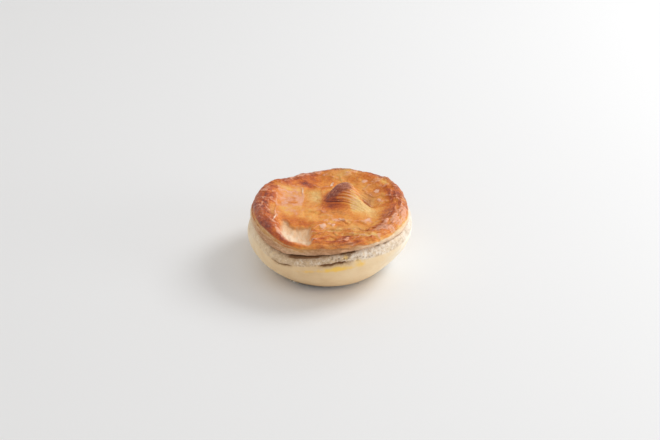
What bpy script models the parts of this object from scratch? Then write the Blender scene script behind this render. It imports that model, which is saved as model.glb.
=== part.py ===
"""A mini beef pie: a pale round pastry case that swells out over a small flat foot, and a
browned puff-pastry lid whose middle is pulled up into a nub.

The form functions work in millimetres and degrees. Angles run counter-clockwise from +X, so
the front of the pie is at 270 degrees. The finished objects are in metres, +Z up, with the
origin under the middle of the pie on the surface that it stands on.
"""

import bpy
import numpy as np

MM = 0.001
NAME = "mini_beef_pie"

# The pastry case
FOOT_RADIUS = 23.4
FOOT_REACH = 1.4
BULGE_RADIUS = 35.2
BULGE_HEIGHT = 17.0
SHOULDER_DRAW_IN = 0.9
CRACK_DEPTH = 1.1

# The seam between case and lid
SEAM_MIDDLE = 20.4
SEAM_EDGE = 21.2
SEAM_RADIUS = 34.0
SEAM_GAP = 0.3

# The lid
LID_RADIUS = 33.3
LID_EDGE_HEIGHT = 25.6
LID_MIDDLE_HEIGHT = 23.7
LID_EDGE_ROUNDING = 0.5
LID_EDGE_ROLL = 1.1
RIM_CREST = 0.9

# The nub in the middle of the lid
NUB_X = 6.8
NUB_Y = 7.6
NUB_HEIGHT = 8.2
NUB_STEEPNESS = 3.8

# Waves round the pie: how far out or up, the angle in the middle and the half width in degrees
LID_OUTLINE_WAVES = (
    (-0.7, 118.0, 16.0),
    (0.25, 140.0, 9.0),
    (0.45, 42.0, 14.0),
    (-0.5, 4.0, 12.0),
)
LID_EDGE_WAVES = (
    (-2.2, 243.0, 18.0),
    (-1.5, 275.0, 22.0),
    (-1.7, 116.0, 19.0),
    (0.4, 113.0, 8.0),
    (-0.4, 132.0, 7.0),
    (-0.6, 96.0, 8.0),
    (0.5, 158.0, 12.0),
    (0.8, 54.0, 20.0),
)
SEAM_WAVES = (
    (-2.7, 232.0, 24.0),
    (1.4, 296.0, 28.0),
)
CRACK_WAVES = (
    (-3.1, 234.0, 24.0),
    (1.1, 285.0, 22.0),
)
CRACK_MIDDLE = 17.4

# Mesh fineness
SEGMENTS = 96
LID_RINGS = 34
RIM_DENSITY = 0.4
HIDDEN_RINGS = 5
CRACK_LEVEL = 0.72
CASE_LEVELS = (1.0, 0.97, 0.93, 0.87, 0.80, 0.76, CRACK_LEVEL, 0.68, 0.62,
               0.54, 0.46, 0.38, 0.30, 0.23, 0.16, 0.10, 0.05, 0.02, 0.0)
LID_SIDE_LEVELS = (1.0, 0.8, 0.5, 0.15, 0.0)


# ---- helpers ----

def bell(distance, width):
    """A smooth hump, 1 in its middle and almost 0 at twice its width."""
    return np.exp(-(distance / width) ** 2)


def turn(angle, centre):
    """The signed angle from centre to angle, within half a turn."""
    return (angle - centre + 180.0) % 360.0 - 180.0


def ease(value, start, end):
    """0 up to start, 1 from end on, and smooth between them."""
    share = np.clip((value - start) / (end - start), 0.0, 1.0)
    return share * share * (3.0 - 2.0 * share)


def within(value, low, high, soft):
    """1 between low and high, fading to 0 over a soft margin."""
    return ease(value, low - soft, low + soft) * (1.0 - ease(value, high - soft, high + soft))


def lattice(column, row, layer, seed):
    """A fixed scattered number between -1 and 1 for each point of a whole-number lattice."""
    mixed = column * 374761393 + row * 668265263 + layer * 2147483647 + seed * 1274126177
    mixed = (mixed ^ (mixed >> 13)) * 1274126177
    mixed = mixed ^ (mixed >> 16)
    return (mixed & 0xFFFF) / 32767.5 - 1.0


def noise(x, y, z, size, seed):
    """Smooth noise between -1 and 1 whose bumps are about size across."""
    place = np.stack([x / size, y / size, z / size])
    cell = np.floor(place).astype(np.int64)
    part = place - cell
    part = part * part * (3.0 - 2.0 * part)
    total = np.zeros(place.shape[1:])
    for corner in range(8):
        step = (corner & 1, corner >> 1 & 1, corner >> 2)
        weight = np.ones(place.shape[1:])
        for axis in range(3):
            weight = weight * (part[axis] if step[axis] else 1.0 - part[axis])
        total += weight * lattice(cell[0] + step[0], cell[1] + step[1], cell[2] + step[2], seed)
    return total


def angle_of(x, y):
    return np.degrees(np.arctan2(y, x)) % 360.0


# ---- the lines that run round the pie ----

def waves(angle, table):
    """The sum of a table's waves at an angle."""
    return sum(amount * bell(turn(angle, middle), width) for amount, middle, width in table)


def lid_outline(angle):
    """Radius of the lid's edge: round, but straighter at the back left, with a corner there."""
    return LID_RADIUS + waves(angle, LID_OUTLINE_WAVES)


def lid_edge_height(angle):
    """Height of the lid's edge: lower at the front, front left and back left."""
    return LID_EDGE_HEIGHT + waves(angle, LID_EDGE_WAVES)


def seam_edge_height(angle):
    """Height of the seam round the outside: low at the front left, high at the front right."""
    return SEAM_EDGE + waves(angle, SEAM_WAVES)


def crack_height(angle):
    """Height of the crack line in the case, which follows the seam a few millimetres below."""
    return CRACK_MIDDLE + waves(angle, CRACK_WAVES)


def seam_height(x, y):
    """The surface where lid and case meet."""
    share = np.clip(np.hypot(x, y) / SEAM_RADIUS, 0.0, 1.0)
    return SEAM_MIDDLE + (seam_edge_height(angle_of(x, y)) - SEAM_MIDDLE) * share ** 2


# ---- the top of the lid ----

def nub_rise(x, y):
    """The nub: a steep dome, full at the left, with a longer slope to the front."""
    across = np.where(x < NUB_X, (x - NUB_X) / 7.2, (x - NUB_X) / 5.0)
    along = np.where(y < NUB_Y, (y - NUB_Y) / 6.4, (y - NUB_Y) / 5.0)
    return NUB_HEIGHT / (1.0 + np.hypot(across, along) ** NUB_STEEPNESS)


def nub_ridge(x, y):
    """The shoulder that runs from the nub down to the right, broad at its front side."""
    run_x, run_y = 10.5, -8.0
    length = np.hypot(run_x, run_y)
    share = ((x - NUB_X) * run_x + (y - NUB_Y) * run_y) / length ** 2
    aside = ((x - NUB_X) * run_y - (y - NUB_Y) * run_x) / length
    width = np.where(aside > 0.0, 4.6, 2.4)
    return 2.2 * bell(share - 0.62, 0.36) * bell(aside, width)


def hollows(x, y):
    """The vent right of the nub, the dip left of it and the sunken ring at the right."""
    vent = 1.7 * bell(np.hypot(x - 17.5, y - 3.5), 3.0)
    left_dip = 1.0 * bell(np.hypot((x + 6.0) / 1.6, y - 9.0), 3.4)
    right_ring = 0.7 * bell(x - 18.0, 4.5) * bell(y + 6.0, 9.0)
    return vent + left_dip + right_ring


def inside_edge(share):
    """1 in the middle of the lid, fading out before its rim."""
    return 1.0 - ease(share, 0.80, 0.95)


def window_basin(x, y, share):
    """The shallow basin at the front left that the crust round the pale window slopes into."""
    sides = within(x, -21.0, -8.6, 0.9) * (1.0 - ease(y, -15.0, -9.5))
    return sides * inside_edge(share)


def pale_window(x, y, share):
    """The flaked-off field in the basin, where the top layer of pastry is gone."""
    return within(x, -20.5, -8.6, 0.8) * (1.0 - ease(y, -17.3, -15.7)) * inside_edge(share)


def flake_patch(x, y):
    """The thin rectangular flake that lies on the left of the lid."""
    return within(x, -22.0, -11.0, 1.0) * within(y, -8.5, 16.0, 1.2)


def edge_drop(angle, share):
    """How far the crust has curled down near the lid's edge, in a roll that is thickest at the left."""
    roll = LID_EDGE_ROLL + 0.9 * bell(turn(angle, 205.0), 45.0)
    from_edge = (1.0 - share) * LID_RADIUS - LID_EDGE_ROUNDING
    inward = np.clip(1.0 - from_edge / roll, 0.0, 1.0)
    return roll * (1.0 - np.sqrt(1.0 - inward ** 2))


def lid_top_height(x, y):
    """Height of the lid's upper surface."""
    angle = angle_of(x, y)
    share = np.hypot(x, y) / lid_outline(angle)
    rim = ease(share, 0.60, 0.86)
    rim_height = lid_edge_height(angle) + RIM_CREST * bell(share - 0.89, 0.09)
    height = LID_MIDDLE_HEIGHT + (rim_height - LID_MIDDLE_HEIGHT) * rim - edge_drop(angle, share)
    height = height + nub_rise(x, y) + nub_ridge(x, y) - hollows(x, y)
    height = height + 0.5 * flake_patch(x, y)
    height = height - 1.2 * window_basin(x, y, share) - 0.6 * pale_window(x, y, share)
    flat = np.zeros_like(x)
    blisters = noise(x, y, flat, 4.2, 11) * (0.25 + 0.3 * rim)
    swells = 0.45 * noise(x, y, flat, 11.0, 12)
    front = within(x, -7.0, 22.0, 2.0) * within(y, -31.0, -19.0, 2.0)
    flakes = 0.35 * noise(x / 3.0, y, flat, 2.4, 13) * front
    return height + (blisters + swells + flakes) * (1.0 - 0.7 * ease(share, 0.86, 0.97))


# ---- the outside of the case ----

def plain_wall_radius(angle, height):
    """The case's bowl: a small foot, a wall that swells out, and a slight draw-in on top."""
    below = np.clip(height / BULGE_HEIGHT, 0.0, 1.0)
    above = np.clip((height - BULGE_HEIGHT) / (SEAM_EDGE - BULGE_HEIGHT), 0.0, 1.5)
    foot = FOOT_RADIUS + FOOT_REACH * bell(turn(angle, 245.0), 60.0)
    swell = 1.0 - (1.0 - below) ** 2.2
    slim = 2.2 * bell(turn(angle, 318.0), 26.0) * bell(height - 8.0, 6.0)
    full = 0.8 * bell(turn(angle, 205.0), 24.0) * bell(height - 8.0, 5.0)
    return foot + (BULGE_RADIUS - foot) * swell - SHOULDER_DRAW_IN * above ** 2 - slim + full


def wall_relief(angle, height):
    """Folds at the left, the puffed roll under the crack and an uneven surface."""
    folds = 0.4 * np.cos(np.radians(9.0 * (angle - 190.0))) * bell(turn(angle, 190.0), 28.0)
    roll = 0.5 * bell(height - crack_height(angle) + 2.2, 1.4) * bell(turn(angle, 275.0), 24.0)
    radius = plain_wall_radius(angle, height)
    x = radius * np.cos(np.radians(angle))
    y = radius * np.sin(np.radians(angle))
    uneven = 0.3 * noise(x, y, height, 9.0, 21) + 0.12 * noise(x, y, height, 3.5, 22)
    return (folds + roll + uneven) * ease(height, 0.5, 6.0)


def crack_depth(angle):
    """Depth of the crack: a thin one at the front left and a deep one at the front."""
    left = 0.7 * within(angle, 228.0, 244.0, 3.0)
    front = within(angle, 262.0, 281.0, 3.0)
    return CRACK_DEPTH * (left + front)


# ---- turned blanks, shaped into the two pieces ----

def turned_blank(profile):
    """A closed turned body of unit size. The profile runs out over the top and down the side."""
    mesh = bpy.data.meshes.new("blank")
    corners = [(radius, 0.0, level) for radius, level in profile]
    edges = [(first, first + 1) for first in range(len(corners) - 1)]
    mesh.from_pydata(corners, edges, [])
    blank = bpy.data.objects.new("blank", mesh)
    bpy.context.scene.collection.objects.link(blank)
    screw = blank.modifiers.new("turn", "SCREW")
    screw.steps = SEGMENTS
    screw.render_steps = SEGMENTS
    screw.use_merge_vertices = True
    screw.merge_threshold = 0.0001
    depsgraph = bpy.context.evaluated_depsgraph_get()
    turned = bpy.data.meshes.new_from_object(blank.evaluated_get(depsgraph))
    bpy.data.objects.remove(blank)
    return turned


def blank_place(mesh):
    """Each point's share of the radius, angle and level, and the direction that it lies in."""
    unit = np.empty(len(mesh.vertices) * 3)
    mesh.vertices.foreach_get("co", unit)
    unit = unit.reshape(-1, 3)
    share = np.hypot(unit[:, 0], unit[:, 1])
    angle = angle_of(unit[:, 0], unit[:, 1])
    direction = np.stack([np.cos(np.radians(angle)), np.sin(np.radians(angle))], axis=1)
    return share, angle, unit[:, 2], direction


def ring_share(ring):
    """Rings over the lid lie closer together towards its edge, which curls down."""
    even = ring / LID_RINGS
    return (1.0 - RIM_DENSITY) * even + RIM_DENSITY * float(np.sin(0.5 * np.pi * even))


def lid_profile():
    """Rings over the top, rows down the side and a few rings underneath."""
    top = [(ring_share(ring), 1.0) for ring in range(LID_RINGS + 1)]
    side = [(1.0, level) for level in LID_SIDE_LEVELS[1:]]
    under = [(ring / HIDDEN_RINGS, 0.0) for ring in range(HIDDEN_RINGS - 1, -1, -1)]
    return top + side + under


def case_profile():
    """A few rings under the lid, rows down the wall, and the foot."""
    top = [(ring / HIDDEN_RINGS, 1.0) for ring in range(HIDDEN_RINGS + 1)]
    side = [(1.0, level) for level in CASE_LEVELS[1:]]
    foot = [(0.6, 0.0), (0.0, 0.0)]
    return top + side + foot


def lid_points(mesh):
    """The lid's points: rings spread out from the nub on top, and a flared side."""
    share, angle, level, direction = blank_place(mesh)
    on_top = level > 0.999
    flare = np.interp(level, (0.0, 0.15, 0.5, 0.8, 1.0), (0.2, 0.9, 0.7, 0.1, -LID_EDGE_ROUNDING))
    radius = lid_outline(angle) + flare
    plan = direction * (share * radius)[:, None]
    pole = np.array([NUB_X, NUB_Y])
    plan = plan + np.where(on_top, 1.0 - share, 0.0)[:, None] * pole
    x, y = plan[:, 0], plan[:, 1]
    bottom = seam_height(x, y) + SEAM_GAP / 2.0
    edge_x = direction[:, 0] * (lid_outline(angle) - LID_EDGE_ROUNDING)
    edge_y = direction[:, 1] * (lid_outline(angle) - LID_EDGE_ROUNDING)
    edge_top = lid_top_height(edge_x, edge_y)
    side = bottom + (edge_top - bottom) * np.interp(level, (0.0, 0.15, 0.5, 0.8, 1.0),
                                                    (0.0, 0.12, 0.5, 0.86, 1.0))
    height = np.where(on_top, lid_top_height(x, y), side)
    return np.stack([x, y, height], axis=1)


def case_points(mesh):
    """The case's points: a top that follows the seam, the wall with its crack, a flat foot."""
    share, angle, level, direction = blank_place(mesh)
    crack = crack_height(angle)
    top = seam_height(direction[:, 0] * SEAM_RADIUS, direction[:, 1] * SEAM_RADIUS) - SEAM_GAP / 2.0
    upper = crack + (top - crack) * (level - CRACK_LEVEL) / (1.0 - CRACK_LEVEL)
    height = np.where(level > CRACK_LEVEL, upper, crack * level / CRACK_LEVEL)
    radius = plain_wall_radius(angle, height) + wall_relief(angle, height)
    radius = radius - np.where(np.abs(level - CRACK_LEVEL) < 0.001, crack_depth(angle), 0.0)
    tuck = np.interp(level, (0.0, 0.02, 0.9, 0.95, 1.0), (1.0, 0.1, 0.0, 0.3, 1.3))
    plan = direction * (share * (radius - tuck))[:, None]
    under_lid = level > 0.999
    height = np.where(under_lid, seam_height(plan[:, 0], plan[:, 1]) - SEAM_GAP / 2.0, height)
    return np.stack([plan[:, 0], plan[:, 1], height], axis=1)


def pastry_material(name, colour, roughness):
    """A dull, non-metallic pastry finish."""
    material = bpy.data.materials.new(name)
    material.use_nodes = True
    shader = material.node_tree.nodes["Principled BSDF"]
    shader.inputs["Base Color"].default_value = (*colour, 1.0)
    shader.inputs["Roughness"].default_value = roughness
    shader.inputs["Metallic"].default_value = 0.0
    material.diffuse_color = (*colour, 1.0)
    return material


def add_piece(name, mesh, points, material, collection):
    """Gives the shaped mesh its name, its finish and its place in the collection."""
    mesh.vertices.foreach_set("co", (points * MM).ravel())
    mesh.update()
    mesh.name = name
    mesh.materials.clear()
    mesh.materials.append(material)
    mesh.shade_smooth()
    mesh.set_sharp_from_angle(angle=np.radians(50.0))
    collection.objects.link(bpy.data.objects.new(name, mesh))


def build():
    for old in list(bpy.data.objects):
        bpy.data.objects.remove(old)
    collection = bpy.data.collections.new(NAME)
    bpy.context.scene.collection.children.link(collection)

    case_mesh = turned_blank(case_profile())
    lid_mesh = turned_blank(lid_profile())
    case = case_points(case_mesh)
    lid = lid_points(lid_mesh)
    both = np.vstack([case, lid])
    middle = (both.min(axis=0) + both.max(axis=0)) / 2.0
    middle[2] = 0.0

    cream = pastry_material("pale_pastry", (0.62, 0.45, 0.24), 0.75)
    golden = pastry_material("browned_pastry", (0.60, 0.22, 0.055), 0.45)
    add_piece("pastry_base", case_mesh, case - middle, cream, collection)
    add_piece("pastry_lid", lid_mesh, lid - middle, golden, collection)


build()
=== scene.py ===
"""The looks of a mini beef pie: a browned, flaky puff-pastry lid on a pale, floury pastry case.

The form functions work in millimetres and degrees. Angles run counter-clockwise from +X, so the
front of the pie is at 270 degrees. They repeat the solids' own form and add its fine relief. The
finished meshes are in metres, +Z up. Vertex attributes say where the pastry is baked dark, torn
pale, floury or stained, and where light and shade are painted on it, and the materials turn them
into colour with their own fine noise.
"""

import math

import bpy
import numpy as np
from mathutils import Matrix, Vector


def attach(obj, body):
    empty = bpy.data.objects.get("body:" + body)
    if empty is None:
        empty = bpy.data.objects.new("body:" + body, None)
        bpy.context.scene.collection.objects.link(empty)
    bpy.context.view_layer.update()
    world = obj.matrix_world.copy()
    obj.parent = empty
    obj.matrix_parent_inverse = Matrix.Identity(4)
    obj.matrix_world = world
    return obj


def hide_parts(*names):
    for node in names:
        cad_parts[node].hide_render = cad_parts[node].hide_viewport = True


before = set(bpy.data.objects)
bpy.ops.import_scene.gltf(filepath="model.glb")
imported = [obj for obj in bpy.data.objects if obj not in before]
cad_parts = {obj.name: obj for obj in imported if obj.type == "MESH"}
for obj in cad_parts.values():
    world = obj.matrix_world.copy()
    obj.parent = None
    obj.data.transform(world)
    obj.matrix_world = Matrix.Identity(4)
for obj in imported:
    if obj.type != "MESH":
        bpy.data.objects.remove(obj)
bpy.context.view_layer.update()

MM = 0.001

# The pastry case
FOOT_RADIUS = 23.4
FOOT_REACH = 1.4
BULGE_RADIUS = 35.2
BULGE_HEIGHT = 17.0
SHOULDER_DRAW_IN = 0.9
CRACK_DEPTH = 1.3

# The seam between case and lid
SEAM_MIDDLE = 20.4
SEAM_EDGE = 21.2
SEAM_RADIUS = 34.0
SEAM_GAP = 0.3

# The lid
LID_RADIUS = 33.3
LID_EDGE_HEIGHT = 25.6
LID_MIDDLE_HEIGHT = 23.7
LID_EDGE_ROUNDING = 0.5
LID_EDGE_ROLL = 1.1
RIM_CREST = 0.9
RIM_STRETCH = 4.7

# The nub in the middle of the lid: its place, its reach each way, its layers and its ridge
NUB_X = 6.8
NUB_Y = 7.6
NUB_HEIGHT = 8.2
NUB_STEEPNESS = 3.8
NUB_LEFT = 7.2
NUB_RIGHT = 5.0
NUB_FRONT = 6.4
NUB_BACK = 5.0
NUB_LAYER = 1.2
NUB_LINE = 6.8
NUB_TILT = 1.6
NUB_BEND = 2.0
NUB_BEND_START = 8.8
RIDGE_RUN = (10.5, -8.0)
RIDGE_SHIFT = 0.7
RIDGE_HEIGHT = 2.2

# The pale window at the front left and the thin flake at the left
WINDOW_LEFT = -21.0
WINDOW_RIGHT = -7.8
WINDOW_DEPTH = 0.6
BASIN_DEPTH = 1.2
FLAKE_SPAN_X = (-23.2, -11.4)
FLAKE_SPAN_Y = (-8.5, 16.5)
FLAKE_HEIGHT = 0.40
FLAKE_LIP = 0.18

# The sizes of the crust's relief
LARGE_LEAF = 13.0
SMALL_LEAF = 5.5
DOME_SPACING = 2.1
CREASE_SIZE = 7.0
CROSS_STREAK = 1.7
STROKE_LENGTH = 2.6

# Waves round the pie: how far out or up, the angle in the middle and the half width in degrees
LID_OUTLINE_WAVES = (
    (-0.7, 118.0, 16.0),
    (0.25, 140.0, 9.0),
    (0.8, 36.0, 16.0),
    (-0.5, 4.0, 12.0),
)
LID_EDGE_WAVES = (
    (-2.2, 243.0, 18.0),
    (-1.5, 275.0, 22.0),
    (-1.4, 116.0, 19.0),
    (0.4, 113.0, 8.0),
    (-0.4, 132.0, 7.0),
    (-0.6, 96.0, 8.0),
    (1.4, 157.0, 12.0),
    (1.0, 54.0, 20.0),
    (0.7, 27.0, 12.0),
)
SEAM_WAVES = (
    (-2.7, 232.0, 24.0),
    (1.4, 296.0, 28.0),
)
CRACK_WAVES = (
    (-3.1, 234.0, 24.0),
    (1.1, 285.0, 22.0),
)
CRACK_MIDDLE = 17.4

# Angles and the seam's gape there: wide at the front, with two short open places at the front right
SEAM_GAPES = (
    (200.0, 0.02), (212.0, 0.08), (236.0, 0.14), (243.0, 0.42), (252.0, 0.40), (258.0, 0.24),
    (275.0, 0.24), (279.0, 0.40), (287.0, 0.36), (291.0, 0.12), (298.0, 0.08), (300.0, 0.02),
    (303.0, 0.02), (304.0, 0.22), (307.5, 0.18), (308.5, 0.02), (310.5, 0.02), (311.5, 0.22),
    (317.0, 0.18), (319.0, 0.02),
)

# The lid's side by level, from the seam at 0 to the crust at 1: how far out it is, how far up
SIDE_LEVELS = (0.0, 0.15, 0.5, 0.8, 1.0)
SIDE_FLARE = (0.3, 0.55, 0.70, 0.2, -LID_EDGE_ROUNDING)
SIDE_CLIMB = (0.0, 0.12, 0.5, 0.86, 1.0)

# How far the case's wall is tucked in by level, from its foot at 0 to its brim at 1
TUCK_LEVELS = (0.0, 0.04, 0.10, 0.93, 0.97, 1.0)
TUCK_DEPTHS = (1.6, 0.6, 0.0, 0.0, 0.10, 0.35)

# Mesh fineness, and the levels of the points that never show: underneath, and between case and lid
LID_GRID = 264
RIM_DENSITY = 0.35
NUB_DENSITY = 0.35
LID_SIDE_ROWS = 24
CASE_SEGMENTS = 1000
CASE_WALL_ROWS = 86
CRACK_LEVEL = 0.72
HIDDEN_SHARES = (0.75, 0.5, 0.25)
UNDERNEATH = -1.0
ON_THE_CASE = 2.0

# The flat charts' widths, and the band round the middle that the lid's side and the wall take
LID_CHART_WIDTH = 82.0
LID_CHART_BAND = 6.0
CASE_CHART_WIDTH = 104.0
CASE_CHART_BAND = 27.0

# The camera, in the photograph's frame: metres, degrees and millimetres
CAMERA_DISTANCE = 0.600
CAMERA_ELEVATION = 32.0
CAMERA_LENS = 75.06
CAMERA_AIM_HEIGHT = 18.4


# ---- helpers ----

def bell(distance, width):
    """A smooth hump, 1 in its middle and almost 0 at twice its width."""
    return np.exp(-(distance / width) ** 2)


def turn(angle, centre):
    """The signed angle from centre to angle, within half a turn."""
    return (angle - centre + 180.0) % 360.0 - 180.0


def facing(angle, centre, width):
    """A smooth hump round the pie, 1 at its centre angle."""
    return bell(turn(angle, centre), width)


def ease(value, start, end):
    """0 up to start, 1 from end on, and smooth between them."""
    share = np.clip((value - start) / (end - start), 0.0, 1.0)
    return share * share * (3.0 - 2.0 * share)


def within(value, low, high, soft):
    """1 between low and high, fading to 0 over a soft margin."""
    return ease(value, low - soft, low + soft) * (1.0 - ease(value, high - soft, high + soft))


def patch(x, y, centre_x, centre_y, half_x, half_y, tilt=0.0):
    """A soft oval field, turned counter-clockwise by tilt."""
    across = x - centre_x
    along = y - centre_y
    cos, sin = math.cos(math.radians(tilt)), math.sin(math.radians(tilt))
    return bell(np.hypot((across * cos + along * sin) / half_x,
                         (along * cos - across * sin) / half_y), 1.0)


def patches(x, y, table):
    """The sum of a table's patches: each has its strength, centre, half width, half depth and tilt."""
    return sum(strength * patch(x, y, *place) for strength, *place in table.values())


def lattice(column, row, layer, seed):
    """A fixed scattered number between -1 and 1 for each point of a whole-number lattice."""
    mixed = column * 374761393 + row * 668265263 + layer * 2147483647 + seed * 1274126177
    mixed = (mixed ^ (mixed >> 13)) * 1274126177
    mixed = mixed ^ (mixed >> 16)
    return (mixed & 0xFFFF) / 32767.5 - 1.0


def noise(x, y, z, size, seed):
    """Smooth noise between -1 and 1 whose bumps are about size across. The seed picks its pattern."""
    place = np.stack(np.broadcast_arrays(x / size, y / size, z / size))
    cell = np.floor(place).astype(np.int64)
    part = place - cell
    part = part * part * (3.0 - 2.0 * part)
    total = np.zeros(place.shape[1:])
    for corner in range(8):
        step = (corner & 1, corner >> 1 & 1, corner >> 2)
        weight = np.ones(place.shape[1:])
        for axis in range(3):
            weight = weight * (part[axis] if step[axis] else 1.0 - part[axis])
        total += weight * lattice(cell[0] + step[0], cell[1] + step[1], cell[2] + step[2], seed)
    return total


def layered_noise(x, y, z, size, octaves, seed):
    """Noise of several sizes, each half as large and half as strong as the one before."""
    total = 0.0
    for octave in range(octaves):
        scale = 0.5 ** octave
        total = total + scale * noise(x, y, z, size * scale, seed + octave)
    return total


def cells(x, y, z, size, seed):
    """Distance to the nearest of scattered points, in sizes, and that point's own number."""
    column, row, layer = (np.floor(value / size).astype(np.int64) for value in (x, y, z))
    nearest = np.full(x.shape, 9.0)
    own = np.zeros(x.shape)
    for step in range(27):
        c = column + step % 3 - 1
        r = row + step // 3 % 3 - 1
        e = layer + step // 9 - 1
        gap = np.sqrt((x / size - c - 0.5 - 0.4 * lattice(c, r, e, seed)) ** 2
                      + (y / size - r - 0.5 - 0.4 * lattice(c, r, e, seed + 1)) ** 2
                      + (z / size - e - 0.5 - 0.4 * lattice(c, r, e, seed + 2)) ** 2)
        closer = gap < nearest
        nearest = np.where(closer, gap, nearest)
        own = np.where(closer, lattice(c, r, e, seed + 3), own)
    return nearest, own


def angle_of(x, y):
    """The direction of a place in plan, from 0 to 360 degrees."""
    return np.degrees(np.arctan2(y, x)) % 360.0


def polar(radius, angle):
    """The place in plan that lies at a distance and a direction from the middle."""
    way = np.radians(angle)
    return radius * np.cos(way), radius * np.sin(way)


def side_noise(angle, level, size, seed):
    """Noise along the pie's side, drawn out along the rim."""
    return noise(*polar(LID_RADIUS, angle), 3.0 * size * level, size, seed)


# ---- the lines that run round the pie ----

def waves(angle, table):
    """The sum of a table's waves at an angle."""
    return sum(amount * facing(angle, middle, width) for amount, middle, width in table)


def lid_outline(angle):
    """Radius of the lid's edge: round, but straighter at the back left, with a corner there."""
    return LID_RADIUS + waves(angle, LID_OUTLINE_WAVES)


def lid_edge_height(angle):
    """Height of the lid's edge: lower at the front, front left and back left."""
    return LID_EDGE_HEIGHT + waves(angle, LID_EDGE_WAVES)


def seam_edge_height(angle):
    """Height of the seam round the outside: low at the front left, high at the front right."""
    return SEAM_EDGE + waves(angle, SEAM_WAVES)


def crack_height(angle):
    """Height of the crack line in the case, which follows the seam a few millimetres below."""
    return CRACK_MIDDLE + waves(angle, CRACK_WAVES)


def seam_opening(angle):
    """How far the seam gapes: widest at the front, nearly shut at the left, the right and the back."""
    gape = np.interp(angle, *zip(*SEAM_GAPES))
    uneven = 1.0 + 0.5 * side_noise(angle, 0.0, 3.0, 161) + 0.3 * side_noise(angle, 0.0, 1.2, 162)
    return gape * uneven


def brown_end(angle):
    """How far below the lid's crest its crust stays brown before the pale cut side begins."""
    left = -0.15 * facing(angle, 215.0, 30.0) + 0.8 * facing(angle, 165.0, 22.0)
    back = 0.6 * facing(angle, 90.0, 60.0)
    right = 2.2 * facing(angle, 18.0, 25.0) + 0.7 * facing(angle, 301.0, 16.0)
    front = -0.80 * facing(angle, 277.0, 18.0)
    return 1.0 + left + front + back + right + 0.3 * side_noise(angle, 0.0, 4.0, 163)


def seam_height(x, y):
    """The surface where lid and case meet."""
    share = np.clip(np.hypot(x, y) / SEAM_RADIUS, 0.0, 1.0)
    return SEAM_MIDDLE + (seam_edge_height(angle_of(x, y)) - SEAM_MIDDLE) * share ** 2


# ---- the top of the lid: its form ----

def nub_rise(x, y):
    """The nub: a steep dome, full at the left, with a longer slope to the front."""
    across = (x - NUB_X) / np.where(x < NUB_X, NUB_LEFT, NUB_RIGHT)
    along = (y - NUB_Y) / np.where(y < NUB_Y, NUB_FRONT, NUB_BACK)
    return NUB_HEIGHT / (1.0 + np.hypot(across, along) ** NUB_STEEPNESS)


def ridge_place(x, y):
    """Place along the nub's ridge, from 0 to 1, and how far in front of its crest."""
    run_x, run_y = RIDGE_RUN
    length = math.hypot(run_x, run_y)
    along = ((x - NUB_X) * run_x + (y - NUB_Y) * run_y) / length ** 2
    return along, ((x - NUB_X) * run_y - (y - NUB_Y) * run_x) / length - RIDGE_SHIFT


def nub_ridge(x, y):
    """The shoulder that runs from the nub down to the right, broad at its front side."""
    along, aside = ridge_place(x, y)
    return RIDGE_HEIGHT * bell(along - 0.62, 0.36) * bell(aside, np.where(aside > 0.0, 4.2, 2.2))


def nub_level(x, y):
    """Place in the nub's own stack of layers, which lie tilted and bend down at the right."""
    past = np.clip((x - NUB_BEND_START) / NUB_BEND, -20.0, 20.0)
    bend = 1.3 * NUB_BEND * np.log1p(np.exp(past))
    return y + NUB_TILT * (nub_rise(x, y) + nub_ridge(x, y)) + bend


def hollows(x, y):
    """The vent right of the nub, the dip left of it and the sunken ring at the right."""
    vent = 1.7 * bell(np.hypot(x - 17.5, y - 3.5), 3.0)
    left_dip = bell(np.hypot((x + 6.0) / 1.6, y - 9.0), 3.4)
    right_ring = 0.7 * bell(x - 18.0, 4.5) * bell(y + 6.0, 9.0)
    return vent + left_dip + right_ring


def wobble(x, y, amount, size, seed):
    """Shifts x and y by noise, so that straight edges come out torn."""
    shift_x = amount * layered_noise(x, y, 0.0, size, 2, seed)
    shift_y = amount * layered_noise(x, y, 0.0, size, 2, seed + 7)
    return x + shift_x, y + shift_y


def inside_edge(share):
    """1 in the middle of the lid, fading out at its rim."""
    return 1.0 - ease(share, 0.84, 0.97)


def window_basin(x, y, share):
    """The shallow basin at the front left that the crust round the pale window slopes into."""
    sides = ease(x, -23.5, -17.0) * (1.0 - ease(x, -9.5, -6.5))
    return sides * (1.0 - ease(y, -14.5, -7.5)) * inside_edge(share)


def pale_window(x, y, share, soft):
    """The flaked-off field at the front left, with a narrow tongue up its left side."""
    x, y = wobble(x, y, 0.5, 2.6, 31)
    top = -14.2 + 5.0 * (1.0 - ease(x, -19.0, -14.8))
    back = 1.0 - ease(y, top - soft, top + soft)
    left = ease(x, WINDOW_LEFT - 1.2, WINDOW_LEFT + 1.2 + soft)
    right = 1.0 - ease(x, WINDOW_RIGHT - 1.1 * soft, WINDOW_RIGHT + 1.1 * soft)
    return left * right * back * inside_edge(share)


def window_fibres(x, y):
    """Soft ridges of the inner leaf that shows in the window, fanned out towards the front."""
    along = (x + 24.0) / (4.0 - 0.12 * y)
    soft = noise(3.2 * along, 0.16 * y, 0.0, 0.9, 33)
    return 0.30 * soft + 0.14 * noise(6.5 * along, 0.3 * y, 0.0, 0.9, 34)


def window_painted_light(x, y):
    """How bright the inner leaf is, with painted shade: darker at the back, under the crust's step, less
    so in the tongue, and duller at the right; creamy at the front.
    """
    back = ease(y, -21.5, -13.0) * (0.70 + 0.30 * ease(x, -18.0, -14.0))
    return (1.0 - back) * (1.0 - 0.4 * ease(x, -17.0, -8.0))


def flake_patch(x, y):
    """The thin rectangular flake that lies on the left of the lid."""
    x, y = wobble(x, y, 0.5, 3.5, 41)
    return within(x, *FLAKE_SPAN_X, 0.25) * within(y, *FLAKE_SPAN_Y, 0.45)


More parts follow.
